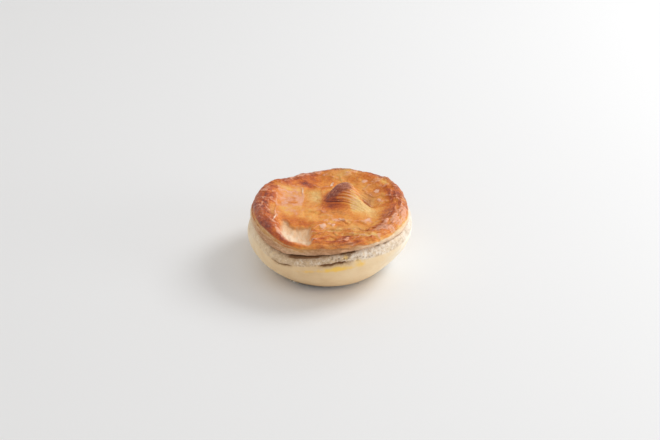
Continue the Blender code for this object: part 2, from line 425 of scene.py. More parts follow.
def flake_lips(x, y):
    """The thin lifted edges of the flake, and of a narrower one between it and the left rim."""
    x, y = wobble(x, y, 0.4, 3.0, 41)
    right = bell(x + 11.9, 0.40) * within(y, 9.5, 16.5, 0.8)
    back = 0.8 * bell(y - 14.0 - 0.12 * (x + 17.0), 0.45) * within(x, -22.5, -12.0, 1.0)
    left = 0.8 * bell(x + 23.0, 0.30) * within(y, -7.0, 9.0, 2.0)
    slant = 0.9 * bell(x + 22.6 - 0.28 * (y + 9.0), 0.32) * within(y, -14.0, -6.0, 1.0)
    torn = np.clip(0.8 + 0.9 * noise(x, y, 0.0, 1.6, 43), 0.0, 1.2)
    return (right + back + left + slant) * torn


def flake_dashes(x, y):
    """Short dark gaps across the flake."""
    row = bell(y - 6.6 - 0.5 * np.round(0.3 * x), 0.24) * within(x, -18.5, -12.5, 0.8)
    return row * ease(noise(x / 1.8, y, 0.0, 1.1, 44), -0.2, 0.3)


# ---- the top of the lid: its fine relief ----

def leaves(x, y, size, seed):
    """Torn leaves of pastry that overlap like shingles: their height, their lips and levels."""
    x, y = wobble(x, y, 0.16 * size, 0.3 * size, seed + 20)
    level = 1.7 * noise(x / 2.2, y, 0.0, size, seed) + (1.2 * y + 0.4 * x) / size
    whole = np.floor(level)
    part = level - whole
    height = ease(part, 0.0, 0.12) - part
    return height, bell(part - 0.14, 0.09), whole


def level_tone(whole, seed):
    """A fixed scattered tone between -1 and 1 for each level of the leaves."""
    return lattice(whole.astype(np.int64), 0, 0, seed)


def blisters(x, y, size, seed):
    """Small round domes that the hot fat blows up in the glazed crust."""
    distance, own = cells(x, y, 0.0, size, seed)
    radius = 0.42 + 0.12 * own
    return np.sqrt(np.clip(1.0 - (distance / radius) ** 2, 0.0, 1.0)) * (own > -0.4)


def single_blisters(x, y):
    """The blown-up spots of pale glaze that show one by one, which also carry painted highlights."""
    x, y = wobble(x, y, 0.35, 1.0, 45)
    return np.clip(patches(x, y, BLISTERS), 0.0, 1.0)


def blister_field(share, angle, x, y):
    """Where the crust is blistered: the front right rim, some of the left and back, and mid-front."""
    front_right = within(share, 0.74, 0.985, 0.04) * facing(angle, 330.0, 36.0)
    left = 0.55 * within(share, 0.75, 0.97, 0.05) * facing(angle, 190.0, 42.0)
    back = 0.35 * within(share, 0.70, 0.97, 0.05) * facing(angle, 55.0, 45.0)
    middle = 0.8 * patch(x, y, -1.0, -13.5, 5.5, 3.2)
    return np.clip(front_right + left + back + middle, 0.0, 1.0)


def rim_streaks(share, angle, seed):
    """Noise that is drawn out along the rim, like the folds of a rolled edge."""
    return layered_noise(*polar(7.0, angle), 33.0 * share, 1.9, 3, seed)


def edge_strokes(share, angle):
    """Short raised strokes of torn glaze: along the rim at the left and back, across it in front."""
    reach = LID_RADIUS * share
    x, y = polar(LID_RADIUS / STROKE_LENGTH, angle)
    rolled = noise(x, y, reach, 0.85, 171) + 0.5 * noise(x, y, reach, 0.45, 172)
    x, y = polar(reach, angle)
    across, upward = 0.92 * x - 0.39 * y, 0.39 * x + 0.92 * y
    torn = noise(across, upward / 2.4, 0.0, 1.05, 173)
    torn = torn + 0.5 * noise(across, upward / 2.0, 0.0, 0.55, 174)
    front_right = within(share, 0.82, 0.99, 0.04) * facing(angle, 334.0, 28.0)
    left = 0.40 * within(share, 0.78, 0.93, 0.04) * facing(angle, 180.0, 30.0)
    back = 0.45 * within(share, 0.76, 0.95, 0.04) * facing(angle, 40.0, 40.0)
    front = 0.6 * within(share, 0.80, 0.90, 0.04) * facing(angle, 285.0, 20.0)
    strokes = ease(rolled, 0.05, 0.65) * np.clip(left + back, 0.0, 1.0)
    return strokes + ease(torn, 0.05, 0.55) * np.clip(front_right + front, 0.0, 1.0)


def cross_streaks(x, y, size, seed):
    """Noise drawn out from left to right, like the edges of rolled-out layers."""
    return layered_noise(x / 4.5, y, 0.0, size, 3, seed)


def creases(x, y, size, seed):
    """Sharp low ridges between soft facets, as in crumpled thin dough."""
    x, y = wobble(x, y, 0.25 * size, 0.8 * size, seed + 3)
    ridge = 1.0 - np.abs(noise(x, y, 0.0, size, seed)) * 2.6
    return np.clip(ridge, 0.0, 1.0) ** 2


def nub_phase(x, y):
    """Counts the thin layers that the nub cuts through, from its dark line upwards."""
    uneven = 0.20 * noise(x, y, 0.0, 5.0, 51) + 0.12 * noise(x, y, 0.0, 1.8, 52)
    return (nub_level(x, y) - NUB_LINE) / NUB_LAYER + uneven


def nub_right(x, y):
    """Where the nub faces right: its edge is sharp low down and soft higher up."""
    soft = 0.8 + 2.4 * ease(nub_level(x, y), 5.0, 11.0)
    x = x + 0.4 * noise(x, y, 0.0, 2.4, 56)
    return ease(x, 9.0 - soft, 9.0 + soft)


def nub_face(x, y):
    """Where the nub's cut layers show: round its front and right, but not on its burnt top."""
    rise = nub_rise(x, y) + nub_ridge(x, y)
    low_front = (1.0 - ease(nub_level(x, y), 5.4, 7.0)) * (1.0 - nub_right(x, y))
    shown = 0.35 + 0.65 * ease(x, 0.0, 4.0)
    shown = shown * (1.0 - 0.55 * nub_plum(x, y)) * (1.0 - 0.9 * low_front)
    return shown * ease(rise, 0.4, 1.5) * (1.0 - ease(y, 9.0, 12.0))


def nub_plum(x, y):
    """The burnt, purple-brown part of the nub: its top and, further down, its left side."""
    x, y = wobble(x, y, 0.6, 2.6, 55)
    lower_end = 9.6 + 6.8 * ease(x, 1.6, 6.0)
    cap = ease(nub_level(x, y) - lower_end, -2.0, 2.0) * (1.0 - ease(x, 7.6, 10.6))
    return ease(nub_rise(x, y), 1.0, 4.0) * cap


def nub_bake(x, y):
    """The nub is burnt at the left, lined and painted with shade at the front, and pale where it faces
    right, partly its own cream layers and partly painted light.
    """
    rise = nub_rise(x, y)
    level = nub_level(x, y)
    right = nub_right(x, y)
    front = ease(x, -5.0, -1.0) * (1.0 - right) * ease(rise, 0.5, 2.0)
    # Painted shade at the nub's front left
    shade = 0.05 + 0.16 * (1.0 - ease(x, 3.0, 8.0))
    shade = shade + 0.16 * (1.0 - ease(x, 2.0, 5.5)) * within(level, NUB_LINE, 13.0, 1.0)
    dark_line = 0.12 * bell(level - NUB_LINE, 0.9) * (1.0 - 0.85 * ease(x, 2.0, 7.0))
    thin_line = 0.14 * bell(level - 4.4, 0.4) * within(x, -1.0, 9.0, 1.0)
    facet = ease(rise + nub_ridge(x, y), 0.5, 1.8) * ease(ridge_place(x, y)[1], -1.6, 0.2)
    # Paler where the nub faces right: partly its cream layers, partly painted light
    pale = 0.40 * right * facet * (1.0 - 0.85 * ease(level, 13.0, 16.5))
    return 0.14 * nub_plum(x, y) + front * (shade + dark_line + thin_line) - pale


def nub_layers(x, y):
    """The relief of the nub's thicker layers: low ridges with gaps between them, which the crust's bake
    paints dark as shade, with light on the ridges.
    """
    phase = 0.5 * nub_phase(x, y)
    part = phase - np.floor(phase)
    ridge = ease(part, 0.08, 0.40) * (1.0 - ease(part, 0.60, 0.92))
    strength = 0.85 + 0.15 * lattice(np.floor(phase).astype(np.int64), 0, 0, 53)
    return (ridge - 0.35) * strength * nub_face(x, y)


def torn_line(x, y):
    """A short open tear in front of the nub, with one lifted lip."""
    across = (y + 11.8) * 0.84 + (x - 6.2) * 0.54
    along = (x - 6.2) * 0.84 - (y + 11.8) * 0.54
    length = within(along, -1.9, 1.7, 0.5)
    return (0.35 * bell(across - 0.5, 0.4) - 0.55 * bell(across, 0.26)) * length


def edge_drop(angle, share):
    """How far the crust has curled down near the lid's edge, in a roll that is thickest at the left."""
    roll = LID_EDGE_ROLL + 0.9 * facing(angle, 205.0, 45.0)
    from_edge = (1.0 - share) * LID_RADIUS - LID_EDGE_ROUNDING
    inward = np.clip(1.0 - from_edge / roll, 0.0, 1.0)
    return roll * (1.0 - np.sqrt(1.0 - inward ** 2))


class Crust:
    """The lid's upper surface at the given points: its fields, its height and its tones."""

    def __init__(self, x, y):
        self.x = x
        self.y = y
        self.angle = angle_of(x, y)
        self.share = np.hypot(x, y) / lid_outline(self.angle)
        self.rim = ease(self.share, 0.60, 0.86)
        self.smooth_roll = facing(self.angle, 222.0, 26.0) * ease(self.share, 0.84, 0.93)
        self.window = pale_window(x, y, self.share, 0.35)
        self.film = flake_patch(x, y)
        self.lip = flake_lips(x, y)
        self.blown = single_blisters(x, y)
        quiet = np.maximum.reduce([self.film, self.window, self.smooth_roll, self.blown])
        self.calm = 1.0 - 0.8 * quiet
        self.large_leaf = leaves(x, y, LARGE_LEAF, 61)
        self.small_leaf = leaves(x, y, SMALL_LEAF, 71)
        self.domes = blisters(x, y, DOME_SPACING, 81) * blister_field(self.share, self.angle, x, y)
        self.rim_streak = rim_streaks(self.share, self.angle, 16)
        self.stroke = edge_strokes(self.share, self.angle)
        self.cross_streak = cross_streaks(x, y, CROSS_STREAK, 13)
        self.front = within(x, -8.0, 22.0, 2.0) * within(y, -31.0, -17.0, 2.5)
        self.crease = creases(x, y, CREASE_SIZE, 18) * ease(noise(x, y, 0.0, 9.0, 19), -0.3, 0.4)
        self.layers = nub_layers(x, y)
        self.dashes = flake_dashes(x, y)
        self.tear = torn_line(x, y)
        self.relief = self.fine_relief()

    def streaky(self):
        """How strongly the crust is drawn out into folds along the rim."""
        right = 0.6 + 0.6 * facing(self.angle, 345.0, 60.0)
        return self.rim * right * (1.0 - 0.6 * self.smooth_roll)

    def fine_relief(self):
        """The torn leaves, streaks, creases and blisters of the crust."""
        x, y = self.x, self.y
        off_nub = 1.0 - 0.85 * ease(nub_rise(x, y), 0.8, 2.5)
        steps = 0.42 * self.large_leaf[0] + 0.20 * self.small_leaf[0]
        lips = 0.10 * self.large_leaf[1] + 0.06 * self.small_leaf[1]
        streaks = 0.30 * self.rim_streak * self.streaky()
        streaks = streaks + (0.36 * self.front + 0.08) * self.cross_streak
        folds = 0.30 * self.crease * (1.0 - 0.6 * self.rim) * (1.0 - self.window)
        rough = 0.06 * noise(x, y, 0.0, 1.5, 14) + 0.035 * noise(x, y, 0.0, 0.7, 15)
        leafy = (steps + lips + folds) * self.calm * off_nub
        streaky = streaks * (0.35 + 0.65 * self.calm) * (0.4 + 0.6 * off_nub)
        raised = 0.36 * self.domes + 0.26 * self.stroke - 0.20 * self.dashes
        raised = raised + 0.55 * self.blown + self.window * window_fibres(x, y)
        return leafy + streaky + rough + raised + 0.22 * self.layers + self.tear

    def height(self):
        """Height above the floor, with all relief."""
        x, y = self.x, self.y
        rim_height = lid_edge_height(self.angle) + RIM_CREST * bell(self.share - 0.89, 0.09)
        form = LID_MIDDLE_HEIGHT + (rim_height - LID_MIDDLE_HEIGHT) * self.rim
        form = form + nub_rise(x, y) + nub_ridge(x, y) - hollows(x, y)
        form = form + FLAKE_HEIGHT * self.film + FLAKE_LIP * self.lip
        form = form - BASIN_DEPTH * window_basin(x, y, self.share) - WINDOW_DEPTH * self.window
        swells = 0.45 * noise(x, y, 0.0, 11.0, 12)
        swells = swells + (0.22 + 0.30 * self.rim) * noise(x, y, 0.0, 4.2, 11)
        form = form + (swells + self.relief) * (1.0 - 0.5 * ease(self.share, 0.93, 1.0))
        return form - edge_drop(self.angle, self.share)

    def bake(self):
        """How far the crust is baked, from 0, raw and pale, to 1, burnt."""
        x, y = self.x, self.y
        amount = 0.36 + 0.26 * ease(self.share, 0.66, 0.84) + patches(x, y, BAKE_PATCHES)
        # The nub's layer ridges are painted light and the gaps between them painted shade
        amount = amount + nub_bake(x, y) - 0.36 * self.layers
        amount = amount + 0.13 * layered_noise(x, y, 0.0, 7.0, 3, 91)
        tones = 0.07 * level_tone(self.large_leaf[2], 62) + 0.06 * level_tone(self.small_leaf[2], 72)
        lips = 0.12 * self.large_leaf[1] + 0.08 * self.small_leaf[1]
        amount = amount + (tones - lips) * self.calm
        amount = amount + 0.12 * self.rim_streak * self.streaky() + 0.10 * self.cross_streak * self.front
        amount = amount + 0.35 * self.dashes + 0.07 * self.crease * self.calm
        # Painted shade inside the open tear
        amount = amount + 0.7 * np.clip(-self.tear, 0.0, 1.0)
        # Lighter on the blisters and torn strokes, as painted highlight
        return amount - 0.12 * self.domes - 0.10 * self.stroke

    def film_and_highlight_amount(self):
        """Where a thin, lighter and peach-coloured film of pastry lies on the crust, and where painted
        highlights lie on its blisters, torn strokes, lips and rim, with painted sheen at the back right.
        """
        x, y = self.x, self.y
        back_of_flake = patch(x, y, -15.5, 8.5, 7.0, 8.0)
        sheet = self.film * (0.38 + 0.54 * back_of_flake)
        torn = 0.75 + 0.45 * layered_noise(x, y, 0.0, 2.2, 3, 101)
        # Painted highlights on the blisters and the torn strokes
        domes = 0.4 * self.domes * ease(self.share, 0.7, 0.8) + 0.65 * self.stroke + self.blown
        # The lifted lips are paler thin edges, lightened further as painted highlight
        lips = 0.35 * self.large_leaf[1] * self.calm + 0.55 * self.lip
        # Light lines on the nub's layer ridges: partly their pale colour, partly painted highlight
        edges = 1.05 * np.clip(self.layers, 0.0, 1.0) * within(x, 1.0, 12.0, 1.5)
        return np.clip((sheet + patches(x, y, FILM_AND_HIGHLIGHT_PATCHES)) * torn + domes + lips + edges, 0.0, 1.0)

    def ochre(self):
        """Where the crust is yellow-brown rather than orange, as in the damp hollows."""
        torn = 1.0 + 0.5 * layered_noise(self.x, self.y, 0.0, 3.5, 2, 103)
        return np.clip(patches(self.x, self.y, OCHRE_PATCHES) * torn, 0.0, 1.0)

    def plum(self):
        """Where the glaze is burnt to a dull purple-brown, and where the lid's outer edge is darkened
        further as painted shade.
        """
        # Burnt glaze along the back edge, darkened as painted shade where the edge turns away
        edge = 0.85 * ease(self.share, 0.865, 0.925) * facing(self.angle, 72.0, 66.0)
        burnt = nub_plum(self.x, self.y) + patches(self.x, self.y, PLUM_PATCHES) + edge
        return np.clip(burnt, 0.0, 1.0)


# ---- where the lid is baked, pale or burnt, and where light and shade are painted on it ----

# strength, centre x, centre y, half width, half depth and, where it is turned, tilt
BAKE_PATCHES = {
    "red spot at the back left": (0.24, -26.0, 17.5, 2.6, 2.0),
    "dark spot at the left": (0.22, -27.0, 7.0, 3.6, 4.6),
    # Partly painted shade where the left edge turns away from the light
    "dark left edge": (0.19, -31.0, -7.0, 3.4, 10.0, 14.0),
    "left rim": (0.12, -27.0, -8.0, 4.0, 13.0, 10.0),
    "left rim behind": (0.13, -27.0, 8.0, 3.5, 9.0),
    "front left rim": (0.22, -23.0, -21.0, 2.0, 9.5, 45.0),
    "golden back left": (-0.28, -20.8, 16.8, 4.6, 2.0, 4.0),
    "left end of the back ridge": (0.24, -16.6, 20.0, 4.2, 2.2, 14.0),
    "inside the left rim": (0.17, -22.6, -3.0, 1.6, 10.0, -6.0),
    "lower end of the flake": (0.20, -20.0, -7.2, 2.6, 1.8),
    "pale corner left of the window": (-0.22, -22.6, -20.2, 2.2, 2.2),
    "dark back edge": (0.12, 11.0, 27.5, 6.0, 1.8, -12.0),
    "ridge at the back left": (0.14, -14.0, 26.0, 9.0, 2.6, 22.0),
    "knot at the back": (0.48, -10.5, 20.5, 3.6, 2.2, -18.0),
    "golden back": (-0.22, 5.0, 28.5, 7.5, 4.0),
    "dip left of the nub": (-0.20, -5.4, 9.4, 3.4, 5.0),
    "lower half of the flake": (0.04, -17.0, -3.0, 6.0, 4.0),
    "red rim at the front right": (0.05, 26.0, -13.0, 3.0, 9.0, -33.0),
    # Painted shade where the crust slopes down into the window
    "crescent over the window": (0.26, -13.5, -10.5, 6.5, 2.8, -24.0),
    "vent": (0.34, 16.5, 9.0, 3.8, 6.5),
    "golden front edge": (0.14, 4.0, -31.5, 12.0, 1.8),
    "front edge below the corner": (0.15, 0.0, -30.0, 7.0, 2.6),
    "golden corner at the front right": (-0.18, 18.5, -26.5, 4.5, 2.2, 40.0),
    "back of the nub's shoulder": (0.10, 13.5, 7.0, 2.0, 2.5),
    "nub's facet": (-0.10, 10.4, -0.5, 1.8, 4.0, -10.0),
    "edge of the nub's facet": (-0.14, 7.2, 1.4, 1.6, 2.2),
    "deep left front rim": (0.10, -21.0, -24.0, 5.5, 1.4, -42.0),
    "groove under the nub's shoulder": (0.34, 15.8, 4.6, 2.8, 1.3, -25.0),
    "ledge right of the nub": (-0.28, 16.0, -3.0, 5.0, 5.0),
    "in front of the nub": (0.14, 5.0, -5.5, 6.0, 3.2),
    "brown foot of the nub": (0.18, -1.0, -1.5, 4.5, 4.5),
    "middle of the front": (0.15, -1.0, -11.0, 6.0, 3.5),
    "right of the window": (0.16, -5.0, -18.8, 2.6, 2.6),
    "before the tear": (0.22, 4.0, -14.8, 3.2, 2.0),
    "front crust": (0.08, 1.0, -24.5, 9.0, 4.6, 3.0),
    "front left corner": (0.10, -4.0, -26.0, 3.0, 3.0),
    "brown inside the right rim": (0.07, 18.5, -20.5, 3.5, 2.5, 20.0),
    "front right crust": (-0.25, 12.5, -24.5, 5.5, 3.5, 10.0),
    "right back rim": (-0.17, 23.5, 17.0, 4.0, 6.0, 30.0),
    "right of the golden back": (-0.08, 16.0, 24.5, 4.5, 3.0, -25.0),
    "right rim": (0.06, 26.0, 6.0, 4.0, 10.0),
    "purple at the front right": (0.14, 23.0, -7.0, 2.6, 5.5, -20.0),
    "pale edge at the front right": (-0.32, 29.0, -13.5, 2.8, 11.0, -30.0),
    "right edge inside": (0.12, 27.5, -2.0, 1.8, 4.0, -8.0),
}
FILM_AND_HIGHLIGHT_PATCHES = {
    # The front right rim's entries paint highlights on its blistered glaze
    "edge at the front right": (0.62, 29.0, -12.0, 2.4, 8.5, -28.0),
    "front of the right edge": (0.72, 22.5, -20.5, 5.0, 2.6, 40.0),
    "outer right edge": (0.75, 31.2, -5.5, 1.5, 6.0, -10.0),
    "light streak over the knot": (0.85, -12.0, 26.3, 2.8, 1.2, 15.0),
    "film in front of the nub": (0.35, 0.5, -12.0, 3.5, 2.0),
    "bits on the ledge": (0.6, 16.0, -9.0, 2.4, 2.0, 30.0),
    "inside the front right rim": (0.55, 21.8, -17.6, 1.5, 3.6, -30.0),
    "bits at the left rim": (0.45, -27.0, -2.0, 3.0, 6.0),
    # Painted sheen on the far slopes at the back right
    "back right": (0.24, 17.0, 21.0, 8.0, 4.5, -38.0),
    "left back rim": (0.35, -27.0, 12.0, 3.0, 4.0),
    "ridge at the back left": (0.35, -12.0, 27.0, 7.0, 2.0, 20.0),
    "left border of the window": (0.9, -21.6, -19.0, 1.6, 5.5, 28.0),
}
OCHRE_PATCHES = {
    "vent": (1.0, 16.5, 8.0, 3.8, 6.5),
    "dip left of the nub": (0.55, -6.5, 10.0, 3.5, 6.0),
    "back": (0.25, 4.0, 27.0, 7.0, 4.0),
    "back left": (0.40, -20.8, 16.8, 4.6, 2.0, 4.0),
    "golden streak inside the left rim": (0.50, -24.5, -4.0, 1.5, 6.0, 8.0),
    "ledge": (0.30, 17.0, -4.0, 5.0, 4.5),
    "foot of the nub": (0.35, 3.0, -4.5, 5.0, 3.0),
    "basin at the front": (0.60, 8.0, -16.0, 9.0, 3.2, 8.0),
    "front edge": (0.45, -2.0, -31.5, 18.0, 1.6),
}
BLISTERS = {
    "left of the middle": (1.2, -3.0, -15.4, 1.25, 1.6),
    "beside it": (0.6, -0.2, -13.6, 0.9, 0.9, -20.0),
    "behind it": (0.55, -2.0, -10.6, 1.1, 1.0, 20.0),
    "in the middle": (0.55, 2.0, -10.6, 1.2, 0.8, -25.0),
    "by the tear": (0.7, 1.5, -14.8, 0.8, 1.2, -10.0),
    "back": (0.9, 15.0, 20.8, 1.2, 0.8, 20.0),
    "right back": (0.9, 20.4, 12.8, 1.2, 1.3, -30.0),
    "right": (0.9, 21.2, 6.4, 0.9, 1.5, 10.0),
    "ledge": (0.8, 16.0, -9.2, 1.9, 0.9, 35.0),
}
PLUM_PATCHES = {
    # The left edge entries are burnt glaze darkened further as painted shade
    "left edge": (0.70, -30.3, -5.0, 2.6, 11.0, 12.0),
    "left back edge": (0.45, -30.5, 9.0, 2.4, 6.0, -12.0),
    "left front rim": (0.30, -25.5, -17.5, 2.2, 6.0, 38.0),
    "ridge at the back left": (0.40, -14.0, 25.5, 7.0, 2.0, 22.0),
    "front right": (0.70, 23.5, -7.0, 2.6, 5.0, -20.0),
    # The right edge entries are burnt glaze darkened further as painted shade
    "right edge": (0.30, 32.6, 6.0, 1.5, 8.0),
    "right back edge": (0.50, 24.6, 22.0, 8.0, 1.5, -45.0),
}


# ---- the outside of the case ----

def plain_wall_radius(angle, height):
    """The case's bowl: a small foot, a wall that swells out, and a slight draw-in on top."""
    below = np.clip(height / BULGE_HEIGHT, 0.0, 1.0)
    above = np.clip((height - BULGE_HEIGHT) / (SEAM_EDGE - BULGE_HEIGHT), 0.0, 1.5)
    foot = FOOT_RADIUS + FOOT_REACH * facing(angle, 245.0, 60.0)
    swell = 1.0 - (1.0 - below) ** 2.2
    slim = 2.2 * facing(angle, 318.0, 26.0) * bell(height - 8.0, 6.0)
    full = 0.8 * facing(angle, 205.0, 24.0) * bell(height - 8.0, 5.0)
    return foot + (BULGE_RADIUS - foot) * swell - SHOULDER_DRAW_IN * above ** 2 - slim + full


def wall_relief(angle, height):
    """Folds at the left, the puffed roll under the crack and an uneven surface."""
    folds = 0.4 * np.cos(np.radians(9.0 * (angle - 190.0))) * facing(angle, 190.0, 28.0)
    roll = 0.5 * bell(height - crack_height(angle) + 2.2, 1.4) * facing(angle, 275.0, 24.0)
    x, y = wall_place(angle, height)
    uneven = 0.3 * noise(x, y, height, 9.0, 21) + 0.12 * noise(x, y, height, 3.5, 22)
    return (folds + roll + uneven) * ease(height, 0.5, 6.0)


def wall_place(angle, height):
    """Where a point of the plain wall lies in plan."""
    return polar(plain_wall_radius(angle, height), angle)


def flour_band(angle, height):
    """The floury roll between crack and seam, brightest at the front and the right."""
    crack = crack_height(angle)
    band = ease(height, crack - 0.4, crack + 0.8)
    return band * (0.30 + 0.70 * facing(angle, 285.0, 62.0))


def flour_pits(angle, height):
    """Small dark pits in the floury roll, in patches, most of them at the front."""
    x, y = wall_place(angle, height)
    distance, own = cells(x, y, height, 1.3, 115)
    where = 0.50 + 0.50 * facing(angle, 280.0, 24.0)
    patchy = ease(noise(x, y, height, 4.0, 118), -0.3, 0.4)
    spots = ease(0.42 + 0.14 * own - distance, 0.0, 0.22)
    return spots * where * patchy * flour_band(angle, height)


def crack_amount(angle, height):
    """The open crack at the front and the thinner one at the front left, with torn edges."""
    x, y = wall_place(angle, height)
    middle = crack_height(angle) + 0.30 * side_noise(angle, 0.0, 3.2, 111)
    middle = middle + 0.15 * side_noise(angle, 0.0, 1.1, 113)
    width = 1.0 + 0.5 * side_noise(angle, 0.0, 2.0, 114)
    left = 0.75 * within(angle, 226.0, 242.5, 3.5) * bell(height - middle, 0.32 * width)
    front = within(angle, 263.0, 280.5, 3.0) * bell(height - middle - 0.1, 0.42 * width)
    dotted = 0.7 * within(angle, 279.0, 288.0, 2.0) * bell(height - middle, 0.55)
    return left + front + dotted * ease(noise(x, y, height, 1.0, 112), -0.05, 0.4)


def wall_detail(angle, height):
    """Fine relief of the dough: grainy flour with pits on the roll, soft dimples below."""
    x, y = wall_place(angle, height)
    flour = flour_band(angle, height)
    distance, own = cells(x, y, height, 1.1, 121)
    grains = 0.24 * np.clip(1.0 - distance / 0.6, 0.0, 1.0) * (own > 0.0)
    rough = 0.26 * noise(x, y, height, 1.7, 125) + 0.13 * noise(x, y, height, 0.8, 126)
    dough = 0.05 * noise(x, y, height, 1.8, 127) + 0.025 * noise(x, y, height, 0.8, 128)
    return flour * (grains + rough) - 0.30 * flour_pits(angle, height) + dough


def egg_stain(angle, height):
    """Dried egg glaze that ran over the roll under the front crack, with a few spots beside it."""
    x, y = wall_place(angle, height)
    below = height - crack_height(angle)
    egg = 1.3 * facing(angle, 274.0, 11.0) * bell(below + 2.2, 1.2)
    egg = egg + 0.55 * facing(angle, 254.0, 9.0) * bell(below + 2.2, 0.9)
    egg = egg + facing(angle, 291.0, 3.8) * bell(below + 0.5, 2.0)
    egg = egg + 0.9 * facing(angle, 280.0, 3.0) * bell(below - 2.2, 0.9)
    patchy = 0.75 + 0.5 * noise(x, y, height, 2.6, 151) + 0.4 * noise(x, y, height, 1.2, 153)
    return np.clip(egg * patchy, 0.0, 1.0)


def gravy_stain_and_shade(angle, height):
    """Brown juice that seeped out of the seam at the front, with painted shade under the lid's edge in
    it, and the toasted lips of the cracks.
    """
    x, y = wall_place(angle, height)
    above = height - seam_edge_height(angle)
    # Partly juice, partly painted shade under the lid's overhanging edge
    seep = facing(angle, 255.0, 14.0) * bell(above + 0.7, 1.0)
    seep = seep + 0.55 * facing(angle, 288.0, 16.0) * bell(above + 0.4, 1.1)
    cracked = within(angle, 226.0, 243.0, 4.0) + within(angle, 262.0, 284.0, 4.0)
    lips = 0.95 * cracked * bell(height - crack_height(angle), 1.1)
    return np.clip((seep + lips) * (0.8 + 0.6 * noise(x, y, height, 2.0, 152)), 0.0, 1.0)


def foot_toast_and_shade(angle, height):
    """The browned lower edge of the case, at its front and left, darkened further as painted contact
    shade.
    """
    where = facing(angle, 258.0, 40.0) + 0.4 * facing(angle, 90.0, 80.0)
    reach = 2.4 + 2.4 * facing(angle, 246.0, 18.0)
    return where * (1.0 - ease(height, 0.8, reach))


def dough_tone_with_painted_light(angle, height):
    """How pale the dough is, with painted light and shade: palest at the right, which faces the lamps,
    and duller at the front and towards the foot.
    """
    right = facing(angle, 352.0, 48.0)
    left = 0.45 * facing(angle, 190.0, 30.0)
    return 0.30 + 0.70 * right + left - 0.15 * (1.0 - ease(height, 1.0, 8.0)) * (1.0 - right)


# ---- meshes ----

def ring_faces(first, second):
    """Quads between two rings of points, given as arrays of point numbers."""
    return np.stack([first, second, np.roll(second, -1), np.roll(first, -1)], axis=1)


def fan_faces(ring, middle):
    """Triangles from a ring to a middle point."""
    return np.stack([ring, np.full_like(ring, middle), np.roll(ring, -1)], axis=1)


class Skin:
    """A closed skin that grows ring by ring: its points, the level of each point and its faces."""

    def __init__(self, points, faces, ring):
        self.blocks = [points]
        self.levels = [np.ones(len(points))]
        self.faces = faces
        self.ring = ring

    def grow(self, points, level, flipped=False):
        """Joins a new ring to the last one by quads, or a single point by a fan."""
        start = sum(map(len, self.blocks))
        new = np.arange(start, start + len(points))
        faces = ring_faces(self.ring, new) if len(points) > 1 else fan_faces(self.ring, start)
        self.blocks.append(points)
        self.levels.append(np.full(len(points), level))
        self.faces.append(faces[:, ::-1] if flipped else faces)
        self.ring = new

    def close(self, edge, side, level, flipped=False):
        """Carries the skin from an edge to the middle, just above the seam (side 1) or below it."""
        lift = side * SEAM_GAP / 2.0
        for share in HIDDEN_SHARES:
            plan = edge[:, :2] * share
            height = seam_height(plan[:, 0], plan[:, 1]) + lift
            self.grow(np.column_stack([plan, height]), level, flipped)
        self.grow(np.array([[0.0, 0.0, SEAM_MIDDLE + lift]]), level, flipped)

    def parts(self):
        """All the points, faces and levels."""
        return np.vstack(self.blocks), self.faces, np.concatenate(self.levels)


def disc_grid(count):
    """A square grid laid over a round disc: share of the radius, angle, quads and the rim."""
    line = np.linspace(-1.0, 1.0, count + 1)
    a, b = np.meshgrid(line, line)
    wide = np.abs(a) >= np.abs(b)
    safe_a = np.where(a == 0.0, 1.0, a)
    safe_b = np.where(b == 0.0, 1.0, b)
    slope = np.where(wide, b / safe_a, a / safe_b)
    turned = np.where(wide, 45.0 * slope, 90.0 - 45.0 * slope)
    radius = np.where(wide, a, b)
    angle = np.where(radius < 0.0, turned + 180.0, turned) % 360.0
    number = np.arange((count + 1) ** 2).reshape(count + 1, count + 1)
    quads = np.stack([number[:-1, :-1], number[:-1, 1:], number[1:, 1:], number[1:, :-1]], axis=-1)
    rim = np.concatenate([number[0, :-1], number[:-1, -1], number[-1, :0:-1], number[:0:-1, 0]])
    return np.abs(radius).ravel(), angle.ravel(), quads.reshape(-1, 4), rim


def add_object(name, data):
    """Adds an object that holds the given mesh, lamp or camera to the scene."""
    made = bpy.data.objects.new(name, data)
    bpy.context.scene.collection.objects.link(made)
    return made


def make_mesh(name, points, faces, attributes, chart, material):
    """A smooth-shaded mesh object in metres with its vertex attributes and its own flat chart."""
    mesh = bpy.data.meshes.new(name)
    mesh.from_pydata((points * MM).tolist(), [], [face for block in faces for face in block.tolist()])
    for title, values in attributes.items():
        kind, field = ("FLOAT", "value") if values.ndim == 1 else ("FLOAT_VECTOR", "vector")
        layer = mesh.attributes.new(title, kind, "POINT")
        layer.data.foreach_set(field, values.astype(np.float32).ravel())
    corner = np.empty(len(mesh.loops), dtype=np.int32)
    mesh.loops.foreach_get("vertex_index", corner)
    flat_chart = mesh.uv_layers.new(name="OFBake")
    flat_chart.data.foreach_set("uv", chart[corner].astype(np.float32).ravel())
    mesh.materials.append(material)
    mesh.shade_smooth()
    return add_object(name, mesh)


def direction_of(angle):
    """One row for each angle: the unit step in plan from the middle outwards."""
    return np.stack(polar(1.0, angle), axis=1)


def soften(grid, reach):
    """The grid with each point averaged over a square that reaches that many points each way."""
    for axis in (0, 1):
        wide = [(0, 0), (0, 0)]
        wide[axis] = (reach, reach)
        padded = np.pad(grid, wide, mode="edge")
        size = grid.shape[axis]
        slices = [np.take(padded, range(step, step + size), axis) for step in range(2 * reach + 1)]
        grid = sum(slices) / len(slices)
    return grid


def cavity(relief, reach):
    """How far the lid's top relief stands above its own surroundings, in millimetres."""
    grid = relief.reshape(LID_GRID + 1, LID_GRID + 1)
    return (grid - soften(grid, reach)).ravel()


